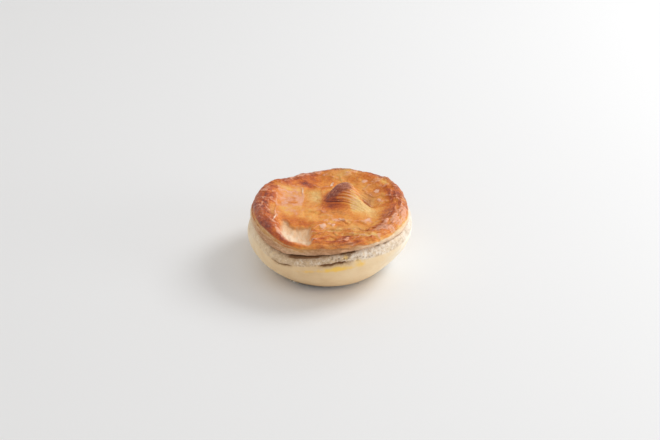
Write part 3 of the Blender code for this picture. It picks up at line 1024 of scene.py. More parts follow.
def lid_plan():
    """The lid's grid in plan, drawn together at the rim and the nub, with its quads and its rim."""
    share, angle, faces, rim = disc_grid(LID_GRID)
    share = (1.0 - RIM_DENSITY) * share + RIM_DENSITY * np.sin(0.5 * math.pi * share)
    plan = direction_of(angle) * (share * (lid_outline(angle) - LID_EDGE_ROUNDING))[:, None]
    to_nub = np.array([NUB_X, NUB_Y]) - plan
    pull = NUB_DENSITY * bell(np.hypot(to_nub[:, 0], to_nub[:, 1]), 11.0)
    return plan + (pull * ease(1.0 - share, 0.0, 0.2))[:, None] * to_nub, angle, faces, rim


def lid_shape():
    """The lid's points, faces and levels, with its crust: a fine top, a side and an underside."""
    plan, angle, top_faces, rim = lid_plan()
    crust = Crust(plan[:, 0], plan[:, 1])
    top = np.column_stack([plan, crust.height()])
    skin = Skin(top, [top_faces], rim)
    for row in range(1, LID_SIDE_ROWS + 1):
        level = 1.0 - row / LID_SIDE_ROWS
        skin.grow(lid_side_row(level, angle[rim], top[rim, 2]), level)
    skin.close(skin.blocks[-1], 1.0, UNDERNEATH)
    return *skin.parts(), crust


def lid_side_row(level, angle, top):
    """One row of the lid's cut side, which flares out to the seam and shows its layers."""
    gape = seam_opening(angle)
    climb = np.interp(level, SIDE_LEVELS, SIDE_CLIMB)
    free = math.sin(math.pi * (1.0 - level))
    radius = lid_outline(angle) + np.interp(level, SIDE_LEVELS, SIDE_FLARE)
    radius = radius + side_layers(level, angle) * free - 1.3 * gape * bell(level, 0.10)
    plan = direction_of(angle) * radius[:, None]
    bottom = seam_height(plan[:, 0], plan[:, 1]) + SEAM_GAP / 2.0 + 0.5 * gape
    sag = 0.25 * side_noise(angle, 0.0, 3.0, 133) * bell(level - 0.15, 0.2)
    return np.column_stack([plan, bottom + (top - bottom) * climb + sag])


def side_layers(level, angle):
    """The edges of the lid's layers: a few thin sheets that stand out by differing amounts."""
    phase = 4.0 * level + 0.7 * side_noise(angle, 0.0, 9.0, 134)
    phase = phase + 0.3 * side_noise(angle, 0.0, 2.5, 135)
    part = phase - np.floor(phase)
    sheet = ease(part, 0.0, 0.35) * (1.0 - ease(part, 0.65, 1.0))
    reach = 0.5 + 0.5 * lattice(np.floor(phase).astype(np.int64), 0, 0, 136)
    patchy = np.clip(0.5 + 0.7 * side_noise(angle, level, 5.0, 137), 0.1, 1.0)
    return 0.42 * (sheet - 0.5) * reach * patchy + 0.22 * side_noise(angle, level, 1.2, 138)


def lid_piece(middle, material):
    """The lid with its baked, pale and filmy places, and its painted shade and highlights."""
    points, faces, level, top = lid_shape()
    x, y, height = points.T
    crust = Crust(x, y)
    on_top = level > 0.999
    below_top = (0, np.count_nonzero(~on_top))
    near = np.pad(cavity(top.relief, 3), below_top)
    wide = np.pad(cavity(top.relief, 9), below_top)
    rim_height = np.interp(crust.angle, *rim_profile(points, level))
    down = np.where(on_top, edge_drop(crust.angle, crust.share), LID_EDGE_ROLL + rim_height - height)
    below_brown = down - brown_end(crust.angle)
    cut = ease(below_brown, -0.30, 0.75)
    golden = 0.22 - 0.18 * facing(crust.angle, 205.0, 42.0) - 0.15 * facing(crust.angle, 15.0, 35.0)
    flow = direction_of(crust.angle) * LID_RADIUS / RIM_STRETCH
    seam_reach = 0.09 + 0.12 * facing(crust.angle, 272.0, 20.0)
    attributes = {
        "bake": crust.bake() + 0.30 * wide - golden * bell(below_brown, 0.5),
        "film": crust.film_and_highlight_amount() * (1.0 - cut),
        "blown": crust.blown * on_top,
        "plum": crust.plum() * (1.0 - cut),
        "ochre": crust.ochre(),
        "pale": pale_window(x, y, crust.share, 1.0) * on_top,
        # Painted shade at the window's back and right, lighter at its front
        "painted_leaf_light": window_painted_light(x, y),
        "cut": cut,
        "depth": 1.0 - np.clip(level, 0.0, 1.0),
        "toast": lid_side_toast(crust.angle, level),
        # Painted shade: darker where the relief sinks below its surroundings
        "crevice_shade": ease(-near, 0.05, 0.24) * on_top,
        # Painted highlight: the film is lighter where the relief stands above its surroundings
        "crest": ease(near, 0.04, 0.18) * on_top,
        "phase": nub_phase(x, y),
        "face": nub_face(x, y) * on_top,
        "streaky": crust.streaky() * (1.0 - cut),
        "front": crust.front * on_top,
        "flow": np.column_stack([flow, LID_RADIUS * crust.share + down]) * MM,
        # Painted shade on the lid's side just above the seam, where it gapes
        "dark": seam_shade(crust.angle) * bell(level, seam_reach) * (level >= 0.0),
    }
    chart = disc_chart(points, level, on_top)
    return make_mesh("lid_crust", points - middle, faces, attributes, chart, material)


def rim_profile(points, level):
    """Angles round the lid and the height, at each of them, of the first row below its top."""
    first_row = np.abs(level - (1.0 - 1.0 / LID_SIDE_ROWS)) < 1e-6
    angle = angle_of(points[first_row, 0], points[first_row, 1])
    order = np.argsort(angle)
    return angle[order], points[first_row, 2][order]


def seam_shade(angle):
    """How much shade is painted into the seam: dark brown where it gapes at the front, and none where
    it's shut.
    """
    return ease(seam_opening(angle), 0.0, 0.40)


def lid_side_toast(angle, level):
    """How brown the lid's cut side is: toasted at the front and the left, pale at the front right."""
    front = facing(angle, 274.0, 26.0)
    left = 0.95 * facing(angle, 218.0, 28.0) * (1.0 - 0.5 * ease(level, 0.65, 0.95))
    back = 0.35 * facing(angle, 90.0, 60.0)
    return front + left + back


def tucked_away(chart, points, hidden, corner, width):
    """The chart with its hidden points drawn small in a corner of the square."""
    return np.where(hidden[:, None], corner + points[:, :2] / width, chart)


def disc_chart(points, level, on_top):
    """A flat chart: the top as seen from above, the side as a band round it, the underside small."""
    way = direction_of(angle_of(points[:, 0], points[:, 1]))
    reach = LID_RADIUS + LID_CHART_BAND * (1.0 - np.clip(level, 0.0, 1.0))
    spread = np.where(on_top[:, None], points[:, :2], way * reach[:, None])
    return tucked_away(0.5 + spread / LID_CHART_WIDTH, points, level < 0.0, 0.04, 2000.0)


def case_row(level, angle):
    """One ring of the case's wall, from its brim at level 1 down to its foot at level 0."""
    way = direction_of(angle)
    gape = seam_opening(angle)
    crack = crack_height(angle)
    brim = seam_height(way[:, 0] * SEAM_RADIUS, way[:, 1] * SEAM_RADIUS) - SEAM_GAP / 2.0
    upper = crack + (brim - crack) * (level - CRACK_LEVEL) / (1.0 - CRACK_LEVEL)
    height = upper if level > CRACK_LEVEL else crack * level / CRACK_LEVEL
    free = ease(level, 0.02, 0.10) * (1.0 - ease(level, 0.97, 1.0))
    detail = wall_detail(angle, height) - CRACK_DEPTH * crack_amount(angle, height)
    radius = plain_wall_radius(angle, height) + wall_relief(angle, height) + detail * free
    tuck = np.interp(level, TUCK_LEVELS, TUCK_DEPTHS)
    if level < 0.5:
        more = 0.6 * facing(angle, 250.0, 30.0) - 0.75 * facing(angle, 325.0, 50.0)
        tuck = tuck * (1.0 + more)
    near_brim = ease(level, 0.92, 1.0)
    shoulder = 0.9 * facing(angle, 188.0, 30.0) * ease(level, 0.55, 0.95)
    radius = radius - tuck - shoulder - 1.5 * gape * near_brim
    return np.column_stack([way * radius[:, None], height - 0.6 * gape * near_brim])


def case_shape():
    """The case's points, faces and levels: a fine wall, a flat foot and a top under the lid."""
    angle = np.arange(CASE_SEGMENTS) * 360.0 / CASE_SEGMENTS
    brim = case_row(1.0, angle)
    brim_ring = np.arange(CASE_SEGMENTS)
    skin = Skin(brim, [], brim_ring)
    for row in range(1, CASE_WALL_ROWS + 1):
        level = wall_level(row / CASE_WALL_ROWS)
        skin.grow(case_row(level, angle), level)
    skin.grow(np.zeros((1, 3)), UNDERNEATH)
    skin.ring = brim_ring
    skin.close(brim, -1.0, ON_THE_CASE, flipped=True)
    return skin.parts()


def case_piece(middle, material):
    """The pale case with its floury roll, cracks, stains and soft folds."""
    points, faces, level = case_shape()
    attributes = case_attributes(points, level)
    chart = case_chart(points, level)
    return make_mesh("case_crust", points - middle, faces, attributes, chart, material)


def wall_level(share):
    """The level of a row: the rows lie closest together at the seam and widen towards the foot."""
    return 1.0 - share ** 1.35


def case_attributes(points, level):
    """Where the case is pale, floury, stained by egg or gravy, pitted, or dark inside a crack; the tone,
    foot and gravy also carry painted light and shade, and the darkness in the cracks and at the seam is
    painted shade.
    """
    angle = angle_of(points[:, 0], points[:, 1])
    height = points[:, 2]
    crack = np.clip(crack_amount(angle, height) * 1.3, 0.0, 1.0)
    seam = ease(level, 0.95, 0.99) * seam_shade(angle)
    return {
        # Dough tone with painted light at the right and painted shade at the front and foot
        "tone": dough_tone_with_painted_light(angle, height),
        "flour": flour_band(angle, height),
        "white": 0.72 * facing(angle, 308.0, 26.0),
        "pits": flour_pits(angle, height),
        "egg": egg_stain(angle, height),
        "gravy": gravy_stain_and_shade(angle, height),
        # Toasted foot with painted contact shade
        "foot": foot_toast_and_shade(angle, height),
        # Painted shade inside the cracks and under the seam
        "dark": np.clip(np.maximum(crack, seam), 0.0, 1.0),
    }


def case_chart(points, level):
    """A flat chart of the case from below: the foot in the middle, the wall as a band round it."""
    way = direction_of(angle_of(points[:, 0], points[:, 1]))
    reach = FOOT_RADIUS + CASE_CHART_BAND * np.clip(level, 0.0, 1.0)
    chart = 0.5 + way * reach[:, None] / CASE_CHART_WIDTH
    chart = np.where((level < 0.0)[:, None], 0.5, chart)
    return tucked_away(chart, points, level > 1.5, 0.03, 2600.0)


# ---- the loose flakes and crumbs ----

# centre x and y, half length, half width, turn and curl
FLAKES = (
    (0.9, 19.4, 1.1, 0.55, 60.0, 1.1),
    (-11.9, 14.6, 2.0, 0.30, 88.0, 0.5),
    (-23.2, -9.8, 2.2, 0.28, 74.0, 0.5),
    (4.7, -10.4, 1.5, 0.32, -38.0, 0.5),
)
# centre x and y, and size
CRUMBS = (
    (-15.0, -20.4, 0.55),
    (-13.6, -21.6, 0.30),
    (-16.6, -19.6, 0.28),
    (-9.5, -23.9, 0.22),
    (12.4, -21.6, 0.24),
    (22.5, 13.5, 0.30),
    (-20.5, 14.8, 0.35),
    (-19.2, 16.9, 0.22),
)
FLAKE_THICKNESS = 0.10
FLAKE_GRID = (17, 13)
CRUMB_GRID = (9, 14)
CRUMB_FORM = (1.2, 0.9, 0.8)


def flake_top(place, seed):
    """A flake's upper side: a torn oval sheet that lies on the crust with its far end curled up."""
    centre_x, centre_y, half_length, half_width, tilt, curl = place
    along, aside = np.meshgrid(*(np.linspace(-1.0, 1.0, count) for count in FLAKE_GRID), indexing="ij")
    torn = 1.0 + 0.35 * layered_noise(2.0 * along, 2.0 * aside, 5.0 * seed, 1.2, 3, 171)
    reach = np.sqrt(np.clip(1.0 - 0.8 * along ** 2, 0.0, 1.0)) * torn
    cos, sin = math.cos(math.radians(tilt)), math.sin(math.radians(tilt))
    run = along * half_length * torn
    offset = aside * half_width * reach
    x = centre_x + run * cos - offset * sin
    y = centre_y + run * sin + offset * cos
    ground = Crust(x.ravel(), y.ravel()).height().reshape(x.shape)
    ground = 0.6 * ground + 0.4 * ground.mean()
    lift = curl * (0.5 + 0.5 * along) ** 3 + 0.20 * curl * aside ** 4
    crinkle = 0.08 * noise(3.0 * along, 3.0 * aside, 5.0 * seed, 1.0, 173)
    return np.stack([x, y, ground + FLAKE_THICKNESS + lift + crinkle], axis=-1).reshape(-1, 3)


def sheet_faces(rows, columns):
    """Faces of a closed thin sheet whose lower points follow its upper points in the same order."""
    number = np.arange(rows * columns).reshape(rows, columns)
    top = np.stack([number[:-1, :-1], number[1:, :-1], number[1:, 1:], number[:-1, 1:]], axis=-1)
    top = top.reshape(-1, 4)
    edge = np.concatenate([number[:-1, 0], number[-1, :-1], number[:0:-1, -1], number[0, :0:-1]])
    following = np.roll(edge, -1)
    skirt = np.stack([edge, edge + number.size, following + number.size, following], axis=1)
    return np.vstack([top, top[:, ::-1] + number.size, skirt])


def flake_body(place, seed):
    """One flake's points, faces and flat pictures, one for each side."""
    top = flake_top(place, seed)
    bottom = top - np.array([0.0, 0.0, FLAKE_THICKNESS])
    return np.vstack([top, bottom]), [sheet_faces(*FLAKE_GRID)], [top[:, :2], top[:, :2]]


def crumb_body(place, index):
    """One crumb's points, faces and flat picture: a small lumpy ball on the floor."""
    centre_x, centre_y, size = place
    rows, columns = CRUMB_GRID
    climb = np.linspace(-0.5 * math.pi, 0.5 * math.pi, rows + 2)[1:-1, None]
    way = np.arange(columns) * 2.0 * math.pi / columns
    parts = np.cos(climb) * np.cos(way), np.cos(climb) * np.sin(way), np.sin(climb)
    unit = np.stack(np.broadcast_arrays(*parts), axis=-1).reshape(-1, 3)
    unit = np.vstack([unit, [[0.0, 0.0, -1.0], [0.0, 0.0, 1.0]]])
    lumpy = 1.0 + 0.35 * noise(*(unit + 5.0 * index).T, 0.7, 181)
    points = unit * (size * lumpy)[:, None] * np.array(CRUMB_FORM)
    points[:, 2] -= points[:, 2].min()
    number = np.arange(rows * columns).reshape(rows, columns)
    faces = [ring_faces(upper, lower) for lower, upper in zip(number[:-1], number[1:])]
    faces.append(fan_faces(number[0], rows * columns))
    faces.append(fan_faces(number[-1], rows * columns + 1)[:, ::-1])
    flat = np.column_stack([angle_of(unit[:, 0], unit[:, 1]) / 90.0, unit[:, 2]])
    return points + np.array([centre_x, centre_y, 0.0]), faces, [flat]


def cell_chart(count, index, flat):
    """Puts one flat picture into its own cell of a square chart."""
    side = math.ceil(math.sqrt(count))
    corner = np.array([index % side, index // side])
    span = flat.max(axis=0) - flat.min(axis=0)
    return (corner + 0.06 + 0.88 * (flat - flat.min(axis=0)) / span.max()) / side


def join_bodies(bodies):
    """The points, faces and chart of several small bodies together."""
    blocks, faces, pictures = [], [], []
    count = 0
    for points, body_faces, body_pictures in bodies:
        blocks.append(points)
        faces += [block + count for block in body_faces]
        pictures += body_pictures
        count += len(points)
    chart = [cell_chart(len(pictures), index, flat) for index, flat in enumerate(pictures)]
    return np.vstack(blocks), faces, np.vstack(chart)


def flakes_piece(middle, material):
    """The thin, pale, curled flakes that lie loose on the crust."""
    points, faces, chart = join_bodies(flake_body(place, seed) for seed, place in enumerate(FLAKES))
    curl = np.repeat([place[-1] for place in FLAKES], len(points) // len(FLAKES))
    return make_mesh("loose_flakes", points - middle, faces, {"curl": curl}, chart, material)


def crumbs_piece(middle, material):
    """A few crumbs of dough that lie round the foot."""
    points, faces, chart = join_bodies(crumb_body(place, index) for index, place in enumerate(CRUMBS))
    return make_mesh("crumbs", points - middle, faces, {}, chart, material)


# ---- materials ----

class Nodes:
    """A material's node tree with short calls to add and join nodes."""

    def __init__(self, name):
        self.material = bpy.data.materials.new(name)
        self.material.use_nodes = True
        self.tree = self.material.node_tree
        self.shader = self.tree.nodes["Principled BSDF"]
        self.place = self.add("ShaderNodeTexCoord").outputs["Object"]

    def add(self, kind, inputs=None, **settings):
        """Adds a node with its settings, and joins or sets its inputs by name or number."""
        made = self.tree.nodes.new(kind)
        for key, value in settings.items():
            setattr(made, key, value)
        for title, source in (inputs or {}).items():
            self.join(source, made.inputs[title])
        return made

    def join(self, source, target):
        """Links an output or a named vertex attribute to an input, or sets the input's own value."""
        if isinstance(source, str):
            source = self.attribute(source)
        if isinstance(source, bpy.types.NodeSocket):
            self.tree.links.new(source, target)
        elif target.type == "RGBA":
            target.default_value = (*source, 1.0)
        else:
            target.default_value = source

    def finish(self, ends):
        """Joins or sets the shader's own inputs by name, and gives the finished material."""
        for title, source in ends.items():
            self.join(source, self.shader.inputs[title])
        return self.material

    def attribute(self, title, output="Fac"):
        """A vertex attribute of the mesh."""
        return self.add("ShaderNodeAttribute", attribute_name=title).outputs[output]

    def noise(self, size_mm, detail=4.0, roughness=0.6, stretch=(1.0, 1.0, 1.0), place=None):
        """Noise between 0 and 1 whose bumps are about a size across."""
        mapping = self.add("ShaderNodeMapping", {"Scale": stretch, "Vector": place or self.place})
        texture = self.add("ShaderNodeTexNoise", {
            "Vector": mapping.outputs["Vector"],
            "Scale": 1.0 / (size_mm * MM),
            "Detail": detail,
            "Roughness": roughness,
        })
        return texture.outputs["Fac"]

    def bands(self, value):
        """Irregular stripes along a counting value, as between thin layers."""
        inputs = {"W": value, "Scale": 1.0, "Detail": 2.0}
        texture = self.add("ShaderNodeTexNoise", inputs, noise_dimensions="1D")
        return self.spread(texture.outputs["Fac"], 0.35, 0.65)

    def math(self, operation, first, second):
        """The result of a calculation with two values."""
        return self.add("ShaderNodeMath", {0: first, 1: second}, operation=operation).outputs[0]

    def times(self, first, second):
        """The product of two values."""
        return self.math("MULTIPLY", first, second)

    def centred(self, value):
        """Noise between 0 and 1, moved to lie round 0."""
        return self.math("SUBTRACT", value, 0.5)

    def total(self, start, *weighted):
        """The start value plus each given value times its weight."""
        for value, weight in weighted:
            start = self.math("ADD", start, self.times(value, weight))
        return start

    def spread(self, value, low, high):
        """Maps low..high to 0..1, clamped."""
        inputs = {"Value": value, "From Min": low, "From Max": high}
        return self.add("ShaderNodeMapRange", inputs).outputs["Result"]

    def ramp(self, value, stops):
        """The colour at a value along a row of colour stops."""
        made = self.add("ShaderNodeValToRGB", {"Fac": value})
        elements = made.color_ramp.elements
        while len(elements) < len(stops):
            elements.new(0.5)
        for element, (position, colour) in zip(elements, stops):
            element.position = position
            element.color = (*colour, 1.0)
        return made.outputs["Color"]

    def mix(self, share, first, second):
        """The first colour with a share of the second over it."""
        inputs = {"Factor": share, "A": first, "B": second}
        return self.add("ShaderNodeMix", inputs, data_type="RGBA").outputs["Result"]

    def bump(self, height, depth_mm, below=None):
        """A bumped normal, on top of another one where that is given."""
        inputs = {"Distance": depth_mm * MM, "Height": height}
        if below:
            inputs["Normal"] = below
        return self.add("ShaderNodeBump", inputs).outputs["Normal"]


CRUST_COLOURS = (
    (0.00, (0.95, 0.61, 0.225)),
    (0.15, (0.94, 0.52, 0.14)),
    (0.30, (0.90, 0.38, 0.075)),
    (0.42, (0.84, 0.285, 0.042)),
    (0.55, (0.74, 0.20, 0.026)),
    (0.68, (0.60, 0.13, 0.018)),
    (0.80, (0.46, 0.085, 0.016)),
    (0.90, (0.31, 0.052, 0.018)),
    (1.00, (0.17, 0.030, 0.020)),
)
OCHRE_COLOURS = (
    (0.10, (0.93, 0.64, 0.27)),
    (0.35, (0.85, 0.45, 0.13)),
    (0.60, (0.64, 0.29, 0.065)),
    (0.85, (0.38, 0.15, 0.035)),
)
# Peach film colours; their lightest stops also serve as painted highlights
FILM_AND_HIGHLIGHT_COLOURS = (
    (0.30, (0.82, 0.31, 0.145)),
    (0.50, (0.90, 0.44, 0.27)),
    (0.70, (0.95, 0.56, 0.39)),
    (0.95, (0.98, 0.66, 0.47)),
)
FLAKE_COLOURS = ((0.34, (0.87, 0.40, 0.17)), (0.48, (0.94, 0.58, 0.36)), (0.64, (0.98, 0.76, 0.60)))
PLUM_COLOURS = ((0.34, (0.22, 0.042, 0.024)), (0.50, (0.35, 0.098, 0.058)), (0.66, (0.62, 0.28, 0.19)))
# Inner leaf colours, from painted shade at the back to cream at the front
WINDOW_COLOURS = ((0.18, (0.52, 0.24, 0.09)), (0.48, (0.78, 0.50, 0.28)), (0.82, (0.93, 0.73, 0.52)))
SIDE_COLOURS = (
    (0.00, (0.84, 0.47, 0.16)),
    (0.20, (0.95, 0.67, 0.35)),
    (0.50, (0.96, 0.74, 0.50)),
    (0.78, (0.90, 0.66, 0.46)),
    (1.00, (0.68, 0.44, 0.28)),
)
TOASTED_SIDE_COLOURS = (
    (0.32, (0.44, 0.19, 0.08)),
    (0.46, (0.62, 0.32, 0.16)),
    (0.58, (0.77, 0.45, 0.25)),
    (0.70, (0.88, 0.61, 0.39)),
)
DOUGH_COLOURS = (
    (0.00, (0.70, 0.45, 0.23)),
    (0.30, (0.84, 0.60, 0.34)),
    (0.60, (0.91, 0.70, 0.44)),
    (0.85, (0.96, 0.83, 0.64)),
    (1.00, (0.99, 0.94, 0.84)),
)
FLOUR_COLOURS = ((0.32, (0.38, 0.25, 0.14)), (0.48, (0.64, 0.46, 0.30)), (0.64, (0.88, 0.75, 0.60)))
FLOUR_WHITE = (0.95, 0.85, 0.73)
EGG_COLOUR = (0.97, 0.59, 0.085)
GRAVY_AND_SHADE_COLOUR = (0.34, 0.16, 0.05)
FOOT_TOAST_AND_SHADE_COLOUR = (0.14, 0.08, 0.03)
PIT_COLOUR = (0.26, 0.15, 0.08)
# Dark red-brown painted as shade into the crust's crevices
CREVICE_SHADE_COLOUR = (0.48, 0.095, 0.010)
SHADE_COLOUR = (0.22, 0.090, 0.026)


def crust_colour(look, fine, mottle, rim_streak, front_streak, banding):
    """Golden to burnt crust, with peach-coloured films of pastry and purple-brown glaze over it, painted
    shade in its crevices and painted highlights in its film.
    """
    fine_part, mottle_part = look.centred(fine), look.centred(mottle)
    baked = look.total("bake", (fine_part, 0.42), (mottle_part, 0.60),
                       (rim_streak, -0.75), (front_streak, -0.65), (banding, 0.50))
    colour = look.ramp(baked, CRUST_COLOURS)
    ochre = look.total("ochre", (mottle_part, 0.8))
    ochre = look.times(look.spread(ochre, 0.05, 0.75), 0.9)
    colour = look.mix(ochre, colour, look.ramp(baked, OCHRE_COLOURS))
    plum_edge = look.total("plum", (mottle_part, 0.9), (fine_part, 0.5))
    plum = look.times(look.spread(plum_edge, 0.20, 1.00), 0.85)
    plum_tone = look.total(look.noise(1.1), (banding, 0.40))
    colour = look.mix(plum, colour, look.ramp(plum_tone, PLUM_COLOURS))
    # Painted shade in the crust's crevices
    colour = look.mix(look.times("crevice_shade", 0.32), colour, CREVICE_SHADE_COLOUR)
    # The crest term paints highlights onto the raised relief
    film_and_highlight_edge = look.total("film", (mottle_part, 0.8), (fine_part, 0.6),
                           (rim_streak, 1.5), (front_streak, 1.0), ("crest", 0.22))
    # The film layer carries the peach film and the painted highlights
    film = look.times(look.spread(film_and_highlight_edge, 0.34, 0.66), 0.85)
    # Lighter still on the single blisters, as painted highlight
    film_and_highlight_tone = look.total(look.noise(1.3, 5.0, 0.65), ("blown", 0.35))
    return look.mix(film, colour, look.ramp(film_and_highlight_tone, FILM_AND_HIGHLIGHT_COLOURS))


def window_colour(look, fine, mottle):
    """How much of the pale inner leaf shows, with a torn edge, and its colour."""
    streaks = look.noise(1.5, 5.0, stretch=(1.0, 0.35, 1.0))
    # The inner leaf's tone with its painted light and shade
    painted_leaf_light = look.total(0.30, (look.centred(streaks), 0.8), ("painted_leaf_light", 0.45))
    fringe = look.centred(look.noise(1.0, stretch=(1.0, 0.25, 1.0)))
    edge = look.total("pale", (look.centred(fine), 0.5), (look.centred(mottle), 0.5),
                      (fringe, 1.0))
    return look.spread(edge, 0.15, 1.0), look.ramp(painted_leaf_light, WINDOW_COLOURS)


def side_colour(look, fine, layered):
    """The lid's cut side: cream under the crust, greyer and pinker down to the seam."""
    soft = look.centred(look.noise(3.5, 5.0))
    fine_part = look.centred(fine)
    value = look.total("depth", (look.centred(layered), 1.1), (soft, 0.30),
                       (fine_part, 0.35))
    colour = look.ramp(value, SIDE_COLOURS)
    toast = look.total("toast", (soft, 0.6))
    toast = look.math("MINIMUM", look.math("MAXIMUM", toast, 0.0), 0.9)
    grain = look.total(layered, (fine_part, 0.5), (soft, 0.2), ("toast", -0.10))
    return look.mix(toast, colour, look.ramp(grain, TOASTED_SIDE_COLOURS))


def crust_material():
    """The browned lid: glazed crust, the pale torn window and the cut side."""
    look = Nodes("browned_crust")
    fine = look.noise(0.8, 6.0, 0.7)
    mottle = look.noise(2.6, 6.0, 0.65)
    layered = look.noise(1.6, 5.0, 0.7, (0.45, 0.45, 2.2))
    streak = look.noise(0.9, place=look.attribute("flow", "Vector"))
    cross = look.noise(1.0, stretch=(0.22, 1.0, 1.0))
    rim_streak = look.times(look.centred(streak), "streaky")
    front_streak = look.times(look.centred(cross), "front")
    banding = look.times(look.centred(look.bands("phase")), "face")

    colour = crust_colour(look, fine, mottle, rim_streak, front_streak, banding)
    pale, inner_leaf = window_colour(look, fine, mottle)
    colour = look.mix(pale, colour, inner_leaf)
    cut = look.spread(look.total("cut", (look.centred(fine), 0.5)), 0.25, 0.80)
    colour = look.mix(cut, colour, side_colour(look, fine, layered))
    # Painted shade along the seam
    colour = look.mix(look.times("dark", 0.9), colour, SHADE_COLOUR)

    dull = look.math("MAXIMUM", pale, cut)
    smooth = look.math("SUBTRACT", 1.0, look.times(dull, 0.55))
    normal = look.bump(look.noise(0.40, 5.0, 0.65), 0.10)
    normal = look.bump(look.times(fine, smooth), 0.28, normal)
    normal = look.bump(look.math("ADD", rim_streak, front_streak), 0.55, normal)
    normal = look.bump(look.times(layered, cut), 0.6, normal)
    return look.finish({
        "Base Color": colour,
        "Roughness": look.total(0.16, (mottle, 0.30), (dull, 0.35), ("film", 0.20)),
        "Specular IOR Level": 0.40,
        "Normal": look.bump(banding, 0.20, normal),
    })


def dough_material():
    """The pale case: dull dough, flour with pits on the roll, egg and gravy stains, and cracks and a
    seam darkened with painted shade; its tone, foot and gravy carry painted light and shade too.
    """
    look = Nodes("pale_dough")
    fine = look.noise(0.8, 6.0, 0.7)
    mottle = look.noise(2.2, 6.0, 0.7)
    broad = look.centred(look.noise(6.0, 5.0, 0.55))
    tone = look.total("tone", (broad, 0.55), (look.centred(fine), 0.15))
    colour = look.ramp(tone, DOUGH_COLOURS)
    grains = look.total(look.noise(1.1, 6.0, 0.75), (look.centred(look.noise(3.2, 3.0, 0.5)), 0.4))
    white = look.times("white", look.spread(grains, 0.36, 0.58))
    flour_colour = look.mix(white, look.ramp(grains, FLOUR_COLOURS), FLOUR_WHITE)
    flour = look.times("flour", look.spread(mottle, 0.30, 0.48))
    egg = look.total("egg", (look.centred(mottle), 0.7))
    # Gravy stain, with painted shade under the lid's edge
    gravy = look.times("gravy", look.spread(fine, 0.25, 0.6))
    # Painted shade in the cracks and the seam
    dark = look.spread(look.total("dark", (fine, 0.35)), 0.40, 1.05)
    layers = (
        (flour, 1.0, flour_colour),
        (look.spread(egg, 0.15, 0.85), 0.85, EGG_COLOUR),
        (gravy, 0.7, GRAVY_AND_SHADE_COLOUR),
        # The foot's toast and painted contact shade
        ("foot", 0.95, FOOT_TOAST_AND_SHADE_COLOUR),
        ("pits", 0.75, PIT_COLOUR),
        (dark, 0.9, SHADE_COLOUR),
    )
    for amount, strength, over in layers:
        colour = look.mix(look.times(amount, strength), colour, over)
    grain = look.bump(look.noise(0.5, 5.0, 0.65), 0.10)
    return look.finish({"Base Color": colour, "Roughness": 0.72, "Normal": look.bump(fine, 0.16, grain)})


def flake_material():
    """Thin dry flakes: pale and pinkish, toasted in spots."""
    look = Nodes("dry_flake")
    fine = look.noise(0.7, 5.0, 0.65)
    return look.finish({
        "Base Color": look.ramp(look.total(fine, ("curl", 0.10)), FLAKE_COLOURS),
        "Roughness": look.total(0.25, (fine, 0.3)),
        "Normal": look.bump(fine, 0.10),
    })


def crumb_material():
    """Dry crumbs of pale dough."""
    look = Nodes("crumb_dough")
    tone = look.total(0.9, (look.centred(look.noise(0.6, 5.0)), 1.0))
    return look.finish({
        "Base Color": look.ramp(tone, DOUGH_COLOURS),
        "Roughness": 0.8,
        "Normal": look.bump(look.noise(0.3), 0.08),
    })


# ---- the studio ----

FLOOR_HALF = 4.0
FLOOR_COLOURS = ((0.3, (0.83, 0.83, 0.83)), (0.7, (0.85, 0.85, 0.85)))
LAMP_COLOUR = (0.98, 1.0, 1.02)
LAMP_TARGET = Vector((0.0, 0.0, 0.015))
SURROUND_COLOUR = (1.0, 0.985, 0.97, 1.0)
SURROUND_STRENGTH = 0.68
# name, place in metres, size in metres and power in watts
LAMPS = (
    ("key", (0.58, 0.32, 0.58), 0.36, 3.5),
    ("side", (0.77, -0.24, 0.17), 0.34, 1.32),
)


def floor_material():
    """An almost even pale grey, barely glossy."""
    look = Nodes("plain_floor")
    colour = look.ramp(look.noise(900.0, 2.0, 0.4), FLOOR_COLOURS)
    return look.finish({"Base Color": colour, "Roughness": 0.6, "Specular IOR Level": 0.2})


def add_floor():
    """The floor that the pie stands on."""
    mesh = bpy.data.meshes.new("floor")
    corners = ((-1, -1), (1, -1), (1, 1), (-1, 1))
    mesh.from_pydata([(x * FLOOR_HALF, y * FLOOR_HALF, 0.0) for x, y in corners], [], [(0, 1, 2, 3)])
    mesh.materials.append(floor_material())
    floor = add_object("floor", mesh)


def aim(thing, place, target):
    """Puts a lamp or the camera at its place, facing its target."""
    thing.location = place
    thing.rotation_euler = (target - place).to_track_quat("-Z", "Y").to_euler()


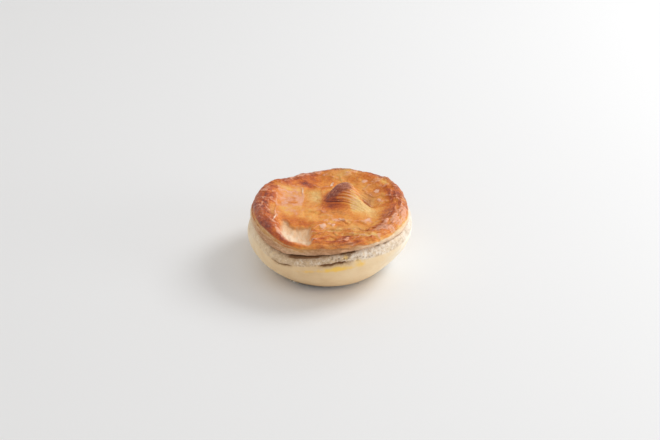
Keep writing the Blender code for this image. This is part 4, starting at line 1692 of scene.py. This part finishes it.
def add_studio():
    """A pale floor, two soft square lamps at the right and an even surround."""
    add_floor()
    for name, place, size, power in LAMPS:
        lamp = bpy.data.lights.new(name, "AREA")
        lamp.shape = "SQUARE"
        lamp.size = size
        lamp.energy = power
        lamp.color = LAMP_COLOUR
        aim(add_object(name, lamp), Vector(place), LAMP_TARGET)
    world = bpy.data.worlds.new("surround")
    world.use_nodes = True
    background = world.node_tree.nodes["Background"]
    background.inputs["Color"].default_value = SURROUND_COLOUR
    background.inputs["Strength"].default_value = SURROUND_STRENGTH
    bpy.context.scene.world = world
    bpy.context.scene.view_settings.view_transform = "Standard"


def add_camera(middle):
    """The photograph's view: from the front, well above the pie, through a long lens."""
    lens = bpy.data.cameras.new("camera")
    lens.lens = CAMERA_LENS
    lens.sensor_width = 36.0
    lens.clip_start = 0.01
    up = math.radians(CAMERA_ELEVATION)
    offset = Vector((-middle[0] * MM, -middle[1] * MM, 0.0))
    place = Vector((0.0, -math.cos(up), math.sin(up))) * CAMERA_DISTANCE + offset
    camera = add_object("camera", lens)
    aim(camera, place, Vector((0.0, 0.0, CAMERA_AIM_HEIGHT * MM)) + offset)
    bpy.context.scene.camera = camera


def form_middle():
    """The middle, in plan, of the box round the plain case, which is the frame's origin."""
    angle = np.linspace(0.0, 360.0, 721)[:, None]
    height = np.linspace(0.0, SEAM_EDGE, 90)[None, :]
    angle, height = np.broadcast_arrays(angle, height)
    x, y = polar(plain_wall_radius(angle, height) + wall_relief(angle, height), angle)
    return np.array([(x.min() + x.max()) / 2.0, (y.min() + y.max()) / 2.0, 0.0])


def build():
    """Makes the pie's four pieces, hangs each one on the root, hides the solids that the lid and the
    case replace, and sets the studio and the view.
    """
    middle = form_middle()
    lid = lid_piece(middle, crust_material())
    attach(lid, "root")
    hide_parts("pastry_lid")
    case = case_piece(middle, dough_material())
    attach(case, "root")
    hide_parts("pastry_base")
    flakes = flakes_piece(middle, flake_material())
    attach(flakes, "root")
    crumbs = crumbs_piece(middle, crumb_material())
    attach(crumbs, "root")
    add_studio()
    add_camera(middle)


build()
